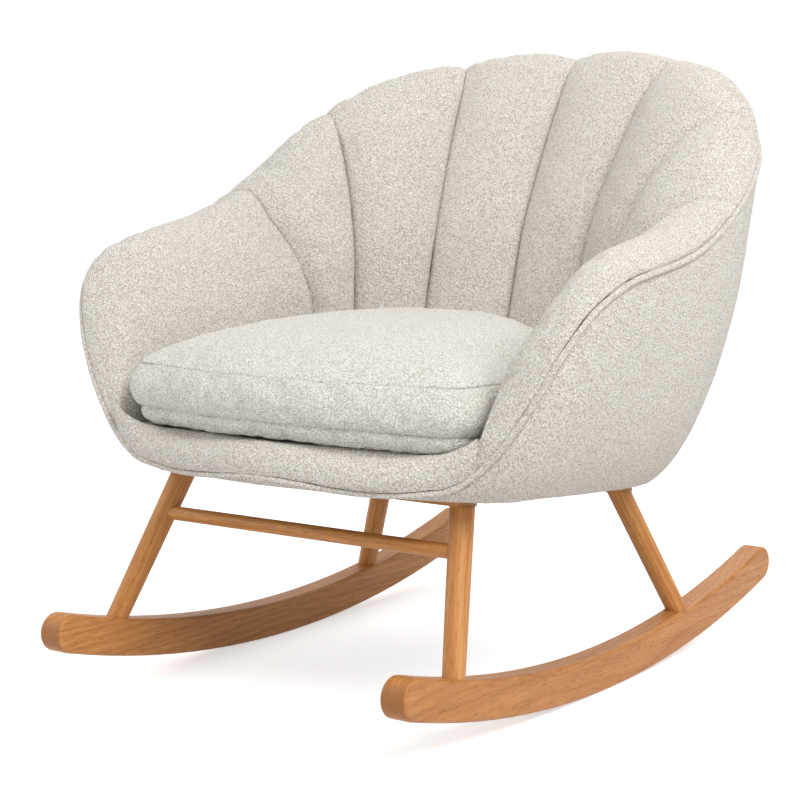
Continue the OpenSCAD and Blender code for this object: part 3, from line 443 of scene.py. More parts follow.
def woodCrest(f):  # the line that the plywood ribs are cut to; the pads' backs follow it
    g = fromFront(f)
    steps = [(rim["lipEnd"], well["lipLevel"] - rim["frontWelt"]), (rim["noseFull"], rim["noseRise"]),
             (rim["noseFade"], rim["noseRise"]), (rim["noseEnd"], rim["armRise"]),
             (rim["dip"], rim["dipRise"]), (rim["shoulder"], rim["shoulderRise"]), (180, rim["backRise"])]
    rise = np.full(np.shape(g), float(steps[0][1]))
    for (g0, r0), (g1, r1) in zip(steps, steps[1:]):
        rise = np.where(g > g0, mix(r0, r1, smooth((g - g0) / (g1 - g0))), rise)
    return woodWelt(f) + rise


def wellR(f, z):  # the well's outline: straight sides in front, half an ellipse behind
    straight = well["width"] / 2 / np.maximum(0.05, np.abs(sinD(f)) - well["splay"] * cosD(f))
    behind = oval(f, well["width"] / 2, well["back"] + well["lean"] * (z - well["level"]), 2)
    return np.where(cosD(f) > 0, straight, behind)


def rollIn(f, top=crestLevel):  # how far in from the wall the roll's top lies
    depth = wallR(f, top(f), 0) - wellR(f, well["lipLevel"])
    wanted = mix(rim["armIn"], rim["backIn"], step(fromFront(f), rim["inFrom"], rim["inSpan"]))
    return np.minimum(wanted, depth / 2)


# the padding's section: t is 0 at the piping, 1 on top of the roll and 2 at the foot inside; e, foot
# and edge set it back from the skin on top, at the foot and at the piping
def sectionPoint(f, t, e=0.0, foot=0.0, edge=0.0, top=crestLevel):
    f, t = np.broadcast_arrays(np.asarray(f, float), np.asarray(t, float))
    crest = top(f) - e
    rc = wallR(f, top(f), rollIn(f, top))
    start = weltLevel(f) + weltRoom(f)
    rise = np.radians(90 * np.minimum(t, 1))
    z1 = mix(start, crest, np.sin(rise))
    r1 = mix(rc, wallR(f, start, edge), np.cos(rise)) - rim["pinch"] * np.exp(-t / rim["pinchSpan"])
    drop = (crest - well["foot"]) * np.maximum(t - 1, 0) ** well["dropPower"]
    z2 = crest - drop
    ri = wellR(f, z2) + mix(e, foot, smooth((well["level"] - z2) / well["thickSpan"]))
    nose = np.exp(-((fromFront(f) - rim["lipEnd"]) / rim["noseSpan"]) ** 2)
    ri = ri - rim["noseFill"] * nose * (1 - step(z2, rim["noseFillTop"], rim["noseFillFade"]))
    faceRise = mix(well["armFace"], well["backFace"], step(fromFront(f), well["faceFrom"], well["faceSpan"]))
    v = np.clip(drop / np.minimum(faceRise, crest - well["foot"]), 0, 1)
    r2 = rc - (rc - ri) * (1 - (1 - v) ** well["faceSquare"]) ** (1 / well["faceSquare"])
    return pointAt(f, np.where(t <= 1, r1, r2), np.where(t <= 1, z1, z2))


def toWorld(points):  # leans the tub back and turns millimetres into metres
    p = np.asarray(points, float) * mm
    c, s = math.cos(math.radians(tub["recline"])), math.sin(math.radians(tub["recline"]))
    return np.stack([p[..., 0], p[..., 1] * c + p[..., 2] * s, -p[..., 1] * s + p[..., 2] * c], -1)


# meshes
def gridFaces(rows, cols, wrapRows, wrapCols):
    across, down = (rows if wrapRows else rows - 1), (cols if wrapCols else cols - 1)
    i, j = np.meshgrid(np.arange(across), np.arange(down), indexing="ij")
    a, b = i * cols + j, i * cols + (j + 1) % cols
    c, d = ((i + 1) % rows) * cols + (j + 1) % cols, ((i + 1) % rows) * cols + j
    return np.stack([a, b, c, d], -1).reshape(-1, 4).tolist()


sharpAngle = 50  # degrees between faces, above which an edge is drawn sharp


def meshPiece(name, points, faces, material):
    mesh = bpy.data.meshes.new(name)
    mesh.from_pydata(np.asarray(points).reshape(-1, 3).tolist(), [], faces)
    mesh.validate()
    work = bmesh.new()
    work.from_mesh(mesh)
    bmesh.ops.recalc_face_normals(work, faces=work.faces)
    work.to_mesh(mesh)
    work.free()
    mesh.polygons.foreach_set("use_smooth", [True] * len(mesh.polygons))
    mesh.set_sharp_from_angle(angle=math.radians(sharpAngle))
    mesh.materials.append(material)
    obj = bpy.data.objects.new(name, mesh)
    scene.collection.objects.link(obj)
    return obj


def coords(obj):
    out = np.empty(len(obj.data.vertices) * 3)
    obj.data.vertices.foreach_get("co", out)
    return out.reshape(-1, 3)


def setCoords(obj, points):
    obj.data.vertices.foreach_set("co", np.asarray(points, float).ravel())
    obj.data.update()


def normals(obj):
    out = np.empty(len(obj.data.vertices) * 3, np.float32)
    obj.data.vertex_normals.foreach_get("vector", out)
    return out.reshape(-1, 3).astype(float)


# uneven cloth: random values on a lattice, blended between its points
unevenness = {"seed": 7, "lattice": 24, "fineSize": 9 * mm, "broadSize": 70 * mm}
lattice = np.random.default_rng(unevenness["seed"]).uniform(-1, 1, (unevenness["lattice"],) * 3)


def lumps(points, size):  # smooth noise between -1 and 1 whose bumps are size metres across
    p = points / size
    base = np.floor(p).astype(int)
    k = smooth(p - base)
    out = np.zeros(len(points))
    for corner in range(8):
        side = np.array([corner & 1, corner >> 1 & 1, corner >> 2 & 1])
        i = (base + side) % unevenness["lattice"]
        out += np.prod(np.where(side, k, 1 - k), axis=1) * lattice[i[:, 0], i[:, 1], i[:, 2]]
    return out


def roughen(obj, fine=0.5 * mm, broad=1.2 * mm):  # cloth is never quite even over its filling
    p = coords(obj)
    out = fine * lumps(p, unevenness["fineSize"]) + broad * lumps(p + 0.37, unevenness["broadSize"])
    setCoords(obj, p + normals(obj) * out[:, None])
    return obj


# Cloth simulation: air pressure blows a copy of the piece up, held where it is sewn or backed
# (free is 0 there and 1 in the open), and the piece then takes over how far its cloth moved.
blow = {"voxel": 5.5 * mm, "pressure": 4.0, "frames": 20, "slack": -0.02, "quality": 5, "near": 5}


def inflate(obj, free, cap):  # cap is how far it can move at most
    start = coords(obj)
    copy = bpy.data.objects.new(obj.name + "_cloth", obj.data.copy())
    scene.collection.objects.link(copy)
    remesh = copy.modifiers.new("even mesh", "REMESH")
    remesh.mode = "VOXEL"
    remesh.voxel_size = blow["voxel"]
    even = bpy.data.meshes.new_from_object(copy.evaluated_get(bpy.context.evaluated_depsgraph_get()))
    copy.modifiers.clear()
    copy.data = even
    before = coords(copy)
    tree = KDTree(len(start))
    for i, p in enumerate(start):
        tree.insert(p, i)
    tree.balance()
    held = copy.vertex_groups.new(name="held")
    for i, p in enumerate(before):
        held.add([i], float(1 - free[tree.find(p)[1]]), "REPLACE")
    cloth = copy.modifiers.new("cloth", "CLOTH")
    cloth.settings.use_pressure = True
    cloth.settings.uniform_pressure_force = blow["pressure"]
    cloth.settings.effector_weights.gravity = 0
    cloth.settings.vertex_group_mass = "held"
    cloth.settings.shrink_min = blow["slack"]
    cloth.settings.quality = blow["quality"]
    cloth.collision_settings.use_collision = False
    for frameNumber in range(1, blow["frames"] + 1):
        scene.frame_set(frameNumber)
    moved = copy.evaluated_get(bpy.context.evaluated_depsgraph_get()).to_mesh()
    after = np.empty(len(moved.vertices) * 3)
    moved.vertices.foreach_get("co", after)
    shift = after.reshape(-1, 3) - before
    scene.frame_set(1)
    bpy.data.objects.remove(copy)
    near = KDTree(len(before))
    for i, p in enumerate(before):
        near.insert(p, i)
    near.balance()
    out = np.zeros_like(start)
    for i, p in enumerate(start):
        hits = near.find_n(p, blow["near"])
        weights = np.array([1 / (h[2] + mm) ** 2 for h in hits])
        out[i] = (weights[:, None] * shift[[h[1] for h in hits]]).sum(0) / weights.sum()
    length = np.linalg.norm(out, axis=1)
    limited = cap * np.tanh(length / cap)
    out *= (limited / np.maximum(length, 1e-9) * free)[:, None]
    setCoords(obj, start + out)
    print("  cloth on", obj.name, "moved up to", round(float(limited.max() / mm), 1), "mm")
    return obj


def closedPad(name, rows, material):  # rows of loops: half of each loop is the skin, half the back
    rows = np.asarray(rows)
    m, n = rows.shape[:2]
    faces = gridFaces(m, n, False, True)
    for end, flip in ((0, True), (m - 1, False)):
        for j in range(n // 2 - 1):
            quad = [end * n + j, end * n + j + 1, end * n + n - 2 - j, end * n + n - 1 - j]
            faces.append(quad[::-1] if flip else quad)
    return meshPiece(name, toWorld(rows), faces, material)


def finishSoft(obj, node, body):
    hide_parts(node)
    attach(obj, body)
    return obj


# outer cover: one skin, turned under at the hem and let in under the piping
cover = {"angles": 480, "levels": 70, "thick": 4, "hemTurn": 8, "puff": 1.0, "lap": 0.6, "pinchSpan": 3.5,
         "crowding": 1.7, "innerLevels": (1.0, 0.8, 0.55, 0.3, 0.12, 0.03, 0.0)}


def makeCover():
    f = np.arange(cover["angles"]) * 360 / cover["angles"]
    top = weltLevel(f) - weltRoom(f) + cover["lap"]
    rows = [pointAt(f, wallR(f, tub["low"], cover["hemTurn"]), tub["low"])]
    for s in 1 - np.linspace(1, 0, cover["levels"]) ** cover["crowding"]:
        z = mix(tub["low"], top, s)
        pinch = rim["pinch"] * np.exp(-(top - z) / cover["pinchSpan"])
        rows.append(pointAt(f, wallR(f, z, pinch - cover["puff"] * np.sin(math.pi * s) ** 0.5), z))
    inside = tub["low"] + cover["thick"]
    for s in cover["innerLevels"]:
        z = mix(inside, top, s)
        rows.append(pointAt(f, wallR(f, z, cover["thick"]), z))
    rows.append(pointAt(f, wallR(f, inside, cover["hemTurn"]), inside))
    faces = gridFaces(len(rows), cover["angles"], True, True)
    obj = meshPiece("outer_cover_cloth", toWorld(np.asarray(rows)), [q[::-1] for q in faces], tubBoucle)
    return finishSoft(roughen(obj, 0.35 * mm, 0.8 * mm), "outer_cover", "chair")


makeCover()
print("outer cover made")

# piping: a cord sewn into the seam round the rim
piping = {"samples": 900, "sides": 14, "radius": 3.6, "inset": 0.4}


def makePiping():
    f = np.arange(piping["samples"]) * 360 / piping["samples"]
    path = pointAt(f, wallR(f, weltLevel(f), piping["inset"]), weltLevel(f))
    along = np.roll(path, -1, 0) - np.roll(path, 1, 0)
    along /= np.linalg.norm(along, axis=1)[:, None]
    out = np.stack([sinD(f), -cosD(f), 0 * f], -1)
    up = np.cross(along, out)
    up /= np.linalg.norm(up, axis=1)[:, None]
    side = np.cross(along, up)
    a = (np.arange(piping["sides"]) * 2 * math.pi / piping["sides"])[None, :, None]
    ring = piping["radius"] * (up[:, None] * np.cos(a) + side[:, None] * np.sin(a))
    faces = gridFaces(piping["samples"], piping["sides"], True, True)
    obj = meshPiece("welt_piping_cord", toWorld(path[:, None] + ring), faces, tubBoucle)
    return finishSoft(roughen(obj, 0.25 * mm, 0.1 * mm), "welt_piping", "chair")


makePiping()
print("piping made")

# padded pieces of the tub: arms and channels share one section
pads = {
    "across": 44, "along": 120, "armAcross": 90, "rise": 15, "topRise": 0.4,
    "topShare": (0.5, 0.8, 1, 1, 0.8, 0.5), "roundness": 0.55, "seamDip": 5, "dipRows": 2.6,
    "armSeam": 99.5, "armSeamLow": 107, "armSeamSpan": 135, "armSeamGap": 0.05, "seamGap": 0.07,
    "sideSeam": 121, "fanLow": 145.5, "fanHigh": 152.5, "fanFrom": 430, "fanTo": 742,
    "thinSpan": 60, "armCap": 4 * mm, "channelCap": 6 * mm,
}


def seamAngle(k, z):  # seams 0 and 6 join arms and back, 1 to 5 stand between the channels
    if k > 3:
        return 360 - seamAngle(6 - k, z)
    above = z - pads["fanFrom"]
    fan = mix(pads["fanLow"], pads["fanHigh"], np.clip(above / (pads["fanTo"] - pads["fanFrom"]), 0, 1))
    arm = mix(pads["armSeamLow"], pads["armSeam"], np.clip(above / pads["armSeamSpan"], 0, 1))
    return (arm, pads["sideSeam"] + 0 * z, fan, 180 + 0 * z)[k]


def padRows(angleAt, across, rise, top):
    t = np.linspace(0, 2, pads["along"])
    turn = np.radians(np.where(t < 1, 90 * t, 90 + 90 * smooth((t - 1) * 2)))
    share = np.where(t < 1, t * top, mix(top, 1, smooth((t - 1) * 3)))
    dip = pads["seamDip"] * smooth(t / 0.8)
    rows = []
    for u in np.linspace(0, 1, across):
        f = angleAt(u, sectionPoint(angleAt(u, 500 + 0 * t), t)[:, 2])
        p = sectionPoint(f, t)
        edge = min(u, 1 - u) * (across - 1)
        amount = rise * share * max(math.sin(math.pi * u), 0) ** pads["roundness"]
        amount = amount - dip * math.exp(-edge / pads["dipRows"])
        r = np.hypot(p[:, 0], p[:, 1] - tub["axisY"]) + amount * np.cos(turn)
        skin = pointAt(f, r, p[:, 2] + amount * np.sin(turn))
        room = wallR(f[0], well["lipLevel"], 0) - wellR(f[0], well["lipLevel"])
        thin = float(np.clip(room / pads["thinSpan"], 0, 1))  # the padding thins out at the arm's nose
        setBack = [well[part] * thin for part in ("padThick", "footThick", "edgeThick")]
        back = sectionPoint(f, t, *setBack, woodCrest)
        rows.append(np.concatenate([skin, back[::-1]]))
    return rows


def padFree(across, ends):  # 1 in the middle of the skin, 0 along its seams and on its back
    u = np.minimum(np.arange(across), np.arange(across)[::-1])[:, None] / ends
    t = np.linspace(0, 2, pads["along"])[None, :]
    skin = smooth(u) * smooth(t / 0.25) * smooth((2 - t) / 0.5)
    return np.concatenate([skin, 0 * skin], 1).ravel()


def makeArm(side):
    gap, name = pads["armSeamGap"], "right" if side > 0 else "left"
    angleAt = lambda u, z: side * mix(rim["lipEnd"] + gap, seamAngle(0, z) - gap, u)
    rows = padRows(angleAt, pads["armAcross"], 0, 0)
    obj = closedPad("arm_pad_" + name, rows if side > 0 else rows[::-1], tubBoucle)
    inflate(obj, padFree(pads["armAcross"], 6), pads["armCap"])
    return finishSoft(roughen(obj), name + "_arm_pad", "chair")


def makeChannel(k):
    angleAt = lambda u, z: mix(seamAngle(k, z) + pads["seamGap"], seamAngle(k + 1, z) - pads["seamGap"], u)
    rows = padRows(angleAt, pads["across"], pads["rise"], pads["topRise"] * pads["topShare"][k])
    obj = closedPad(f"back_channel_{k + 1}_pad", rows, tubBoucle)
    inflate(obj, padFree(pads["across"], 5), pads["channelCap"])
    return finishSoft(roughen(obj), f"back_channel_{k + 1}", "chair")


for side in (-1, 1):
    makeArm(side)
for k in range(6):
    makeChannel(k)
print("arm pads and back channels made")

# padded lip in front of the cushion
lip = {"across": 110, "skin": 26, "crestIn": 26, "frontThick": 9, "endGap": 0.04, "narrowFrom": 35,
       "cornerFrom": 34, "cornerSpan": 10, "cornerDrop": 6, "topIn": (1.35, 2.2)}


def makeLip():
    rows = []
    a = np.radians(np.linspace(0, 90, lip["skin"]))
    end = rim["lipEnd"] - lip["endGap"]
    for f in np.linspace(-end, end, lip["across"]):
        start, crest = float(weltLevel(f) + weltRoom(f)), float(crestLevel(f))
        toArm = float(step(abs(f), lip["narrowFrom"], rim["lipEnd"] - lip["narrowFrom"]))
        crestIn = mix(lip["crestIn"], float(rollIn(float(rim["lipEnd"]))), toArm)
        level = mix(start, crest, np.sin(a))
        skin = pointAt(f, wallR(f, level, crestIn * (1 - np.cos(a))), level)
        topIn = np.array([k * crestIn for k in lip["topIn"]] + [well["lipWide"]])
        corner = float(step(abs(f), lip["cornerFrom"], lip["cornerSpan"]))
        nearCrest = mix(well["lipLevel"], crest - lip["cornerDrop"], corner)
        topLevel = np.array([nearCrest, well["lipLevel"], well["lipLevel"]])
        top = pointAt(f, wallR(f, topLevel, topIn), topLevel)
        under = pointAt(f, wallR(f, well["deck"], topIn[::-1]), well["deck"])
        low = mix(start, well["deck"], np.sin(a[::-1]))
        back = pointAt(f, wallR(f, low, mix(lip["frontThick"], crestIn, 1 - np.cos(a[::-1]))), low)
        rows.append(np.concatenate([skin, top, under, back]))
    obj = closedPad("front_lip_roll", rows, tubBoucle)
    return finishSoft(roughen(obj), "front_lip_pad", "chair")


makeLip()
print("front lip made")

# loose seat cushion: a boxed cushion, so its sides stand between two seams and its top crowns
cushion = {
    "gap": 1.6, "setback": 8, "square": 8, "seat": 287.8, "under": 20, "underIn": 18, "boxHigh": 50,
    "crown": 40, "crownPower": (2.9, 0.7), "swell": 10, "wedge": 0.45, "seamDeep": 1.3, "seamWide": 1.0,
    "cornerOut": 14, "cornerAt": 41, "cornerSpan": 5, "leanLimit": 1.3,
    "channelRoom": 15, "channelFrom": 88, "channelSpan": 12,
    "angles": 420, "baseRings": 18, "underRings": 12, "sideRings": 34, "topRings": 60, "sewnRows": 2.5,
    "cap": 9 * mm, "coreIn": 20, "coreLow": 10, "coreHigh": 5,
}


def cushionR(f, inset):
    lean = np.minimum(cushion["leanLimit"], np.abs(cosD(f)) / np.maximum(1e-6, np.abs(sinD(f))))
    side = (well["width"] / 2 - cushion["gap"]) / (1 - well["splay"] * lean)
    frontWall = (tub["frontReach"] + tub["frontBow"] * np.maximum(0, cosD(2 * f))
                 - tub["frontTuck"] * tuckIn(well["lipLevel"]))
    front = oval(f, side - inset, frontWall - cushion["setback"] - inset, cushion["square"])
    corner = np.exp(-((fromFront(f) - cushion["cornerAt"]) / cushion["cornerSpan"]) ** 2)
    front = front + cushion["cornerOut"] * corner
    behind = step(fromFront(f), cushion["channelFrom"], cushion["channelSpan"])
    back = wellR(f, well["lipLevel"]) - cushion["gap"] - inset - cushion["channelRoom"] * behind
    return np.where(cosD(f) > 0, front, back)


def wedged(p):  # lower in front than behind
    frontY = tub["axisY"] - cushionR(0.0, 0)
    length = cushionR(0.0, 0) + cushionR(180.0, 0)
    p[..., 2] = mix(cushion["seat"], p[..., 2], 1 + cushion["wedge"] * (p[..., 1] - frontY) / length)
    return p


# rings of (level, inset, share of the radius), closed by a point at each end
def domeMesh(name, radius, rings, material, poles, shape):
    f = np.arange(cushion["angles"]) * 360 / cushion["angles"]
    points = np.asarray([pointAt(f, share * radius(f, inset), level) for level, inset, share in rings])
    ends = np.asarray([pointAt(0.0, 0.0, level) for level in poles])
    rows, cols = points.shape[:2]
    faces = gridFaces(rows, cols, False, True)
    for j in range(cols):
        faces.append([rows * cols, (j + 1) % cols, j])
        faces.append([rows * cols + 1, (rows - 1) * cols + j, (rows - 1) * cols + (j + 1) % cols])
    return meshPiece(name, toWorld(shape(np.concatenate([points.reshape(-1, 3), ends]))), faces, material)


def cushionRings():
    seat, swell = cushion["seat"], cushion["swell"]
    low = seat + cushion["under"]
    high = low + cushion["boxHigh"]
    groove = lambda d: cushion["seamDeep"] * math.exp(-(abs(d) / cushion["seamWide"]) ** 1.3)
    rings = [(seat, swell + cushion["underIn"], k) for k in np.linspace(0.06, 0.98, cushion["baseRings"])]
    for a in np.radians(np.linspace(0, 90, cushion["underRings"])):
        level = seat + (cushion["under"] - 0.5) * (1 - math.cos(a))
        rings.append((level, swell + cushion["underIn"] * (1 - math.sin(a)) + groove(low - level), 1))
    for k in 0.5 - 0.5 * np.cos(np.linspace(0, math.pi, cushion["sideRings"])):
        level = mix(low, high, k)
        bulge = swell * (1 - math.sin(math.pi * k) ** 0.9)
        rings.append((level, bulge + groove(level - low) + groove(high - level), 1))
    for k in 1 - np.linspace(0.02, 0.97, cushion["topRings"]) ** 2.2:
        rise = cushion["crown"] * (1 - k ** cushion["crownPower"][0]) ** cushion["crownPower"][1]
        rings.append((high + rise, swell + groove(rise), k))
    return rings, (seat, high + cushion["crown"])


def makeCushion():
    rings, poles = cushionRings()
    obj = domeMesh("seat_cushion_cover", cushionR, rings, litCushionBoucle, poles, wedged)
    seams = (cushion["baseRings"] + cushion["underRings"] - 0.5,
             cushion["baseRings"] + cushion["underRings"] + cushion["sideRings"] - 0.5)
    i = np.arange(len(rings))
    away = np.minimum(np.abs(i - seams[0]), np.abs(i - seams[1]))
    free = np.where(i < cushion["baseRings"], 0.0, 1 - 0.9 * np.exp(-(away / cushion["sewnRows"]) ** 2))
    free = np.concatenate([np.repeat(free, cushion["angles"]), [0.0, 1.0]])
    inflate(obj, free, cushion["cap"])
    return finishSoft(roughen(obj, 0.5 * mm, 1.6 * mm), "cushion_cover", "cushion")


def slabRings(low, high, edge, flat=24):  # a slab with its upper and lower edges rounded
    rings = [(low, edge, k) for k in np.linspace(0.05, 0.97, flat)]
    for a in np.radians(np.linspace(0, 90, 8)):
        rings.append((low + edge * (1 - math.cos(a)), edge * (1 - math.sin(a)), 1))
    for a in np.radians(np.linspace(90, 0, 8)):
        rings.append((high - edge * (1 - math.cos(a)), edge * (1 - math.sin(a)), 1))
    return rings + [(high, edge, k) for k in np.linspace(0.97, 0.05, flat)]


def makeCore():  # cut foam, its edges pressed round by the cover
    low = cushion["seat"] + cushion["coreLow"]
    high = cushion["seat"] + cushion["under"] + cushion["boxHigh"] - cushion["coreHigh"]
    obj = domeMesh("seat_cushion_foam", lambda f, inset: cushionR(f, cushion["coreIn"] + inset),
                   slabRings(low, high, 9), foamStuff, (low, high), lambda p: p)
    return finishSoft(roughen(obj, 0.15 * mm, 0.3 * mm), "cushion_core", "cushion")


# deck: thin felt pad in calico, stitched down along the lip and tucked in at the sides
deck = {"gap": 0.9, "lipGap": 0.6, "channelFrom": 86, "channelSpan": 14, "cornerIn": 18, "cornerFrom": 44.1,
        "cornerSpan": 0.4, "below": 0.2, "edge": 3.4, "rings": 40}


def deckR(f, inset):
    g = fromFront(f)
    behind = (wellR(f, well["lipLevel"]) - deck["gap"]
              - pads["rise"] * step(g, deck["channelFrom"], deck["channelSpan"]))
    beside = step(g, deck["cornerFrom"], deck["cornerSpan"])  # fills the corners beside the lip
    frontIn = mix(well["lipWide"] + deck["lipGap"], deck["cornerIn"], beside)
    return np.minimum(behind, wallR(f, well["lipLevel"], frontIn)) - inset


def makeDeck():
    low, high = well["deck"], well["lipLevel"] - deck["below"]
    obj = domeMesh("seat_deck", deckR, slabRings(low, high, deck["edge"], deck["rings"]), deckCloth,
                   (low, high), lambda p: p)
    return finishSoft(roughen(obj, 0.12 * mm, 0.2 * mm), "seat_deck_pad", "chair")


makeCushion()
makeCore()
makeDeck()
print("cushion and deck made")

# elastic webbing straps: flat woven bands that pass over and under each other
strap = {"wide": 50, "thick": 1.3, "weave": 0.8, "middle": 276.95, "step": 3.0, "count": 4, "pitch": 103.2,
         "from": -312, "to": 82, "crossFrom": -270, "crossPitch": 86.667, "crossReach": 239,
         "backGap": 1.6, "level": 60, "threads": 9, "swayFrom": 0.28, "swaySpan": 0.44}


def strapLimit():  # rear outline that the straps stay inside, as x and y of its right half
    f = np.linspace(94, 180, 60)
    r = wellR(f, well["lipLevel"]) - pads["rise"] - strap["backGap"]
    return r * sinD(f), tub["axisY"] - r * cosD(f)


def strapMesh(name, along, across, place):  # a band of quads with a thickness; place gives each point
    s, w = np.meshgrid(along, across, indexing="ij")
    skin = np.asarray([place(a, b, 1) for a, b in zip(s.ravel(), w.ravel())]).reshape(*s.shape, 3)
    back = np.asarray([place(a, b, -1) for a, b in zip(s.ravel(), w.ravel())]).reshape(*s.shape, 3)
    return closedPad(name, np.concatenate([skin, back[:, ::-1]], 1), webbing)


def makeStraps():
    middle = (strap["count"] - 1) / 2
    longX = [(i - middle) * strap["pitch"] for i in range(strap["count"])]
    crossY = [strap["crossFrom"] + strap["crossPitch"] * j + strap["wide"] / 2 for j in range(strap["count"])]
    limitX, limitY = strapLimit()

    def sway(value, places, first):  # up or down at each crossing, level between the last one and the end
        knots = [places[0] - strap["level"]] + list(places) + [places[-1] + strap["level"]]
        signs = [0] + [first * (-1) ** i for i in range(len(places))] + [0]
        k = int(np.clip(np.searchsorted(knots, value) - 1, 0, len(knots) - 2))
        share = (value - knots[k]) / (knots[k + 1] - knots[k])
        share = step(share, strap["swayFrom"], strap["swaySpan"])
        return strap["weave"] * float(mix(signs[k], signs[k + 1], share))

    def thread(w):  # which of the points across the strap this is
        return int(round((w / strap["wide"] + 0.5) * (strap["threads"] - 1)))

    across = np.linspace(-0.5, 0.5, strap["threads"]) * strap["wide"]
    for i, x in enumerate(longX):
        ends = [min(strap["to"], float(np.interp(abs(x + w), limitX[::-1], limitY[::-1]))) for w in across]
        count = int((strap["to"] - strap["from"]) / strap["step"])

        def place(k, w, face, x=x, ends=ends, i=i):
            y = mix(strap["from"], ends[thread(w)], k)
            return (x + w, y, strap["middle"] + sway(y, crossY, 1 - 2 * (i % 2)) + face * strap["thick"] / 2)

        obj = strapMesh(f"seat_strap_long_{i + 1}", np.linspace(0, 1, count), across, place)
        finishSoft(obj, "long_seat_straps", "chair")
    for j, y in enumerate(crossY):
        reach = [min(strap["crossReach"], float(np.interp(y + w, limitY, limitX, left=1000))) for w in across]
        count = int(2 * strap["crossReach"] / strap["step"])

        def place(k, w, face, y=y, reach=reach, j=j):
            x = mix(-1, 1, k) * reach[thread(w)]
            return (x, y + w, strap["middle"] - sway(x, longX, 1 - 2 * (j % 2)) + face * strap["thick"] / 2)

        obj = strapMesh(f"seat_strap_cross_{j + 1}", np.linspace(0, 1, count), across, place)
        finishSoft(obj, "cross_seat_straps", "chair")


makeStraps()
print("seat straps made")

# dust cloth: one thin sheet stapled flat under the board, cut round the front rail and the bolts
dust = {
    "inset": 8.6, "level": 236.15, "thick": 0.6, "grid": 11, "spanX": (-231, 232), "spanY": (-336, 190),
    "railY": -261.95, "railHalf": (216.8, 21.6), "railRound": 20.6,
    "bolts": ((-90, 128.4), (90, 128.4)), "boltR": 4.4, "pucker": 0.25, "puckerSize": 26 * mm,
    "flat": (0.465, 0.530),
}


def railOutline():
    w, h = dust["railHalf"]
    a = np.radians(np.arange(0, 360, 10) + 5)
    r = dust["railRound"]
    return np.stack([np.sign(np.cos(a)) * (w - r) + r * np.cos(a),
                     dust["railY"] + np.sign(np.sin(a)) * (h - r) + r * np.sin(a)], -1)


def dustKept(p):  # true where the cloth is: inside its outline, outside the rail's slot and the holes
    f, r = np.degrees(np.arctan2(p[0], tub["axisY"] - p[1])), np.hypot(p[0], p[1] - tub["axisY"])
    w, h = dust["railHalf"]
    turn = dust["railRound"]
    corner = [max(abs(p[0]) - w + turn, 0), max(abs(p[1] - dust["railY"]) - h + turn, 0)]
    return (r < float(wallR(f, tub["low"], dust["inset"])) and math.hypot(*corner) > turn
            and all(math.dist(p, b) > dust["boltR"] for b in dust["bolts"]))


def makeDustCloth():
    f = np.arange(0, 360, 2.5)
    outline = pointAt(f, wallR(f, tub["low"], dust["inset"]), 0.0)[:, :2]
    a = np.radians(np.arange(0, 360, 20))
    ring = dust["boltR"] * np.stack([np.cos(a), np.sin(a)], -1)
    holes = [np.array(bolt) + ring for bolt in dust["bolts"]]
    flat, edges = [], []
    for loop in [outline, railOutline()] + holes:
        edges += [(len(flat) + i, len(flat) + (i + 1) % len(loop)) for i in range(len(loop))]
        flat += [Vector(p) for p in loop]
    for x in np.arange(*dust["spanX"], dust["grid"]):
        flat += [Vector((x, y)) for y in np.arange(*dust["spanY"], dust["grid"]) if dustKept((x, y))]
    points, _, faces, _, _, _ = delaunay_2d_cdt(flat, edges, [], 0, 1e-4)
    faces = [t for t in faces if dustKept(sum((points[i] for i in t), Vector((0, 0))) / 3)]
    used = sorted({i for t in faces for i in t})
    place = {i: k for k, i in enumerate(used)}
    faces = [[place[i] for i in t] for t in faces]
    low = np.array([[points[i][0], points[i][1], dust["level"]] for i in used])
    low[:, 2] += dust["pucker"] * lumps(low * mm * np.array([1, 1, 0]), dust["puckerSize"]) + dust["pucker"]
    count = len(used)
    sides = [(t[k], t[(k + 1) % 3]) for t in faces for k in range(3)]
    known = set(sides)
    hem = [e for e in sides if e[::-1] not in known]
    skin = [t[::-1] for t in faces] + [[i + count for i in t] for t in faces]
    skin += [[a, b, b + count, a + count] for a, b in hem]
    high = low + np.array([0, 0, dust["thick"]])
    obj = meshPiece("dust_cloth_sheet", toWorld(np.concatenate([low, high])), skin, dustCloth)
    finishSoft(obj, "dust_cover", "chair")
    corners = [[points[used[i]] for i in t] for t in faces]


makeDustCloth()
print("dust cloth made")


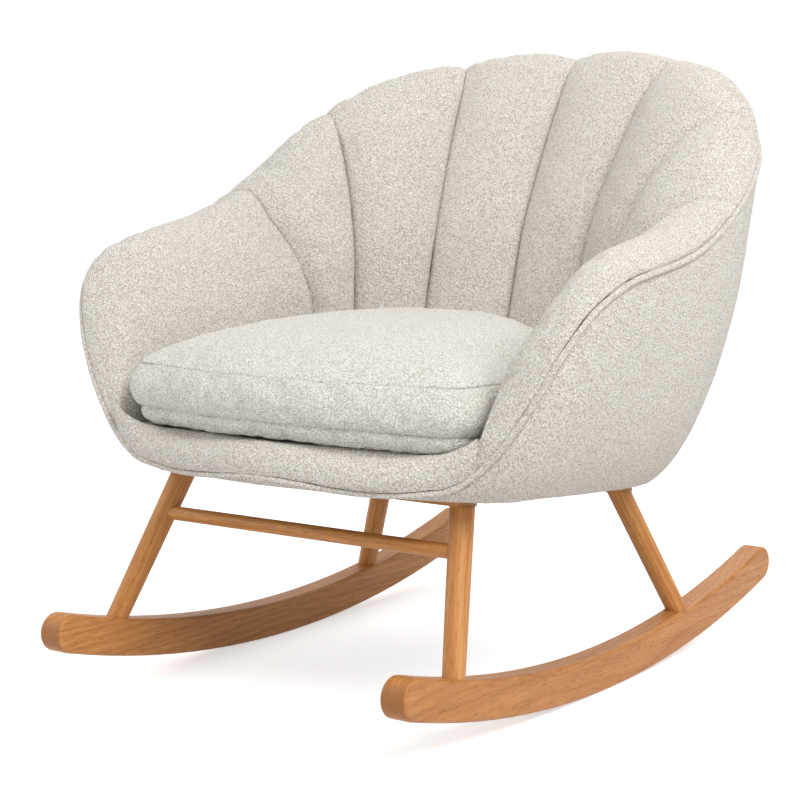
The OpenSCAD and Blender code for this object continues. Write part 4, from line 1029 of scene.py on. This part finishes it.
# light: a wide soft key from the right and above, a weaker fill on the left and a pale world
studio = {"aim": (0, 0, 0.4), "world": 0.62, "floorLift": 0.56, "floorReach": 14.0}
lights = {
    "key": {"place": (2.2, -0.9, 2.7), "size": 2.0, "watts": 80},
    "fill": {"place": (-2.4, -2.0, 1.9), "size": 2.4, "watts": 26},
    "rim": {"place": (-0.4, 2.2, 2.6), "size": 2.0, "watts": 24},
}
for name, lamp in lights.items():
    data = bpy.data.lights.new(name, "AREA")
    data.shape = "DISK"
    data.size = lamp["size"]
    data.energy = lamp["watts"]
    obj = bpy.data.objects.new(name, data)
    scene.collection.objects.link(obj)
    obj.location = lamp["place"]
    obj.rotation_euler = (Vector(studio["aim"]) - obj.location).to_track_quat("-Z", "Y").to_euler()


def seenAsWhite(tree):  # 1 for the camera's own rays and for what gloss and glass show
    rays = addNode(tree, "LightPath")
    glossy = addNode(tree, "Math", [("operation", "MAXIMUM")],
                     links=[(0, rays.outputs["Is Camera Ray"]), (1, rays.outputs["Is Glossy Ray"])])
    either = addNode(tree, "Math", [("operation", "MAXIMUM")],
                     links=[(0, glossy.outputs[0]), (1, rays.outputs["Is Transmission Ray"])])
    return either.outputs[0]


world = bpy.data.worlds.new("studio")
scene.world = world
world.use_nodes = True
world.node_tree.nodes.clear()
sky = addNode(world.node_tree, "Background", values=[("Color", (1, 1, 1, 1))])
strength = addNode(world.node_tree, "MapRange", values=[("To Min", studio["world"]), ("To Max", 1.0)],
                   links=[("Value", seenAsWhite(world.node_tree))])
world.node_tree.links.new(strength.outputs[0], sky.inputs["Strength"])
addNode(world.node_tree, "OutputWorld", links=[("Surface", sky.outputs[0])])


# the floor is white to the camera and keeps the shadow that falls on it
def makeFloor():
    reach = studio["floorReach"]
    mesh = bpy.data.meshes.new("floor")
    mesh.from_pydata([(-reach, -reach, 0), (reach, -reach, 0), (reach, reach, 0), (-reach, reach, 0)], [],
                     [(0, 1, 2, 3)])
    obj = bpy.data.objects.new("floor", mesh)
    scene.collection.objects.link(obj)
    material, tree, shader = newMaterial("studio floor", {
        "Base Color": (0.8, 0.8, 0.8, 1), "Roughness": 0.9, "Specular IOR Level": 0.0,
        "Emission Color": (1, 1, 1, 1)})
    lift = addNode(tree, "MapRange", values=[("To Min", 0.0), ("To Max", studio["floorLift"])],
                   links=[("Value", seenAsWhite(tree))])
    tree.links.new(lift.outputs[0], shader.inputs["Emission Strength"])
    mesh.materials.append(material)
    obj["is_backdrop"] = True


makeFloor()
scene.view_settings.view_transform = "Standard"
print("lights and floor made")

box = lambda b: [[float(v) for v in corner] for corner in b]
{"cad": box(cadBounds), "visual": box(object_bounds())}
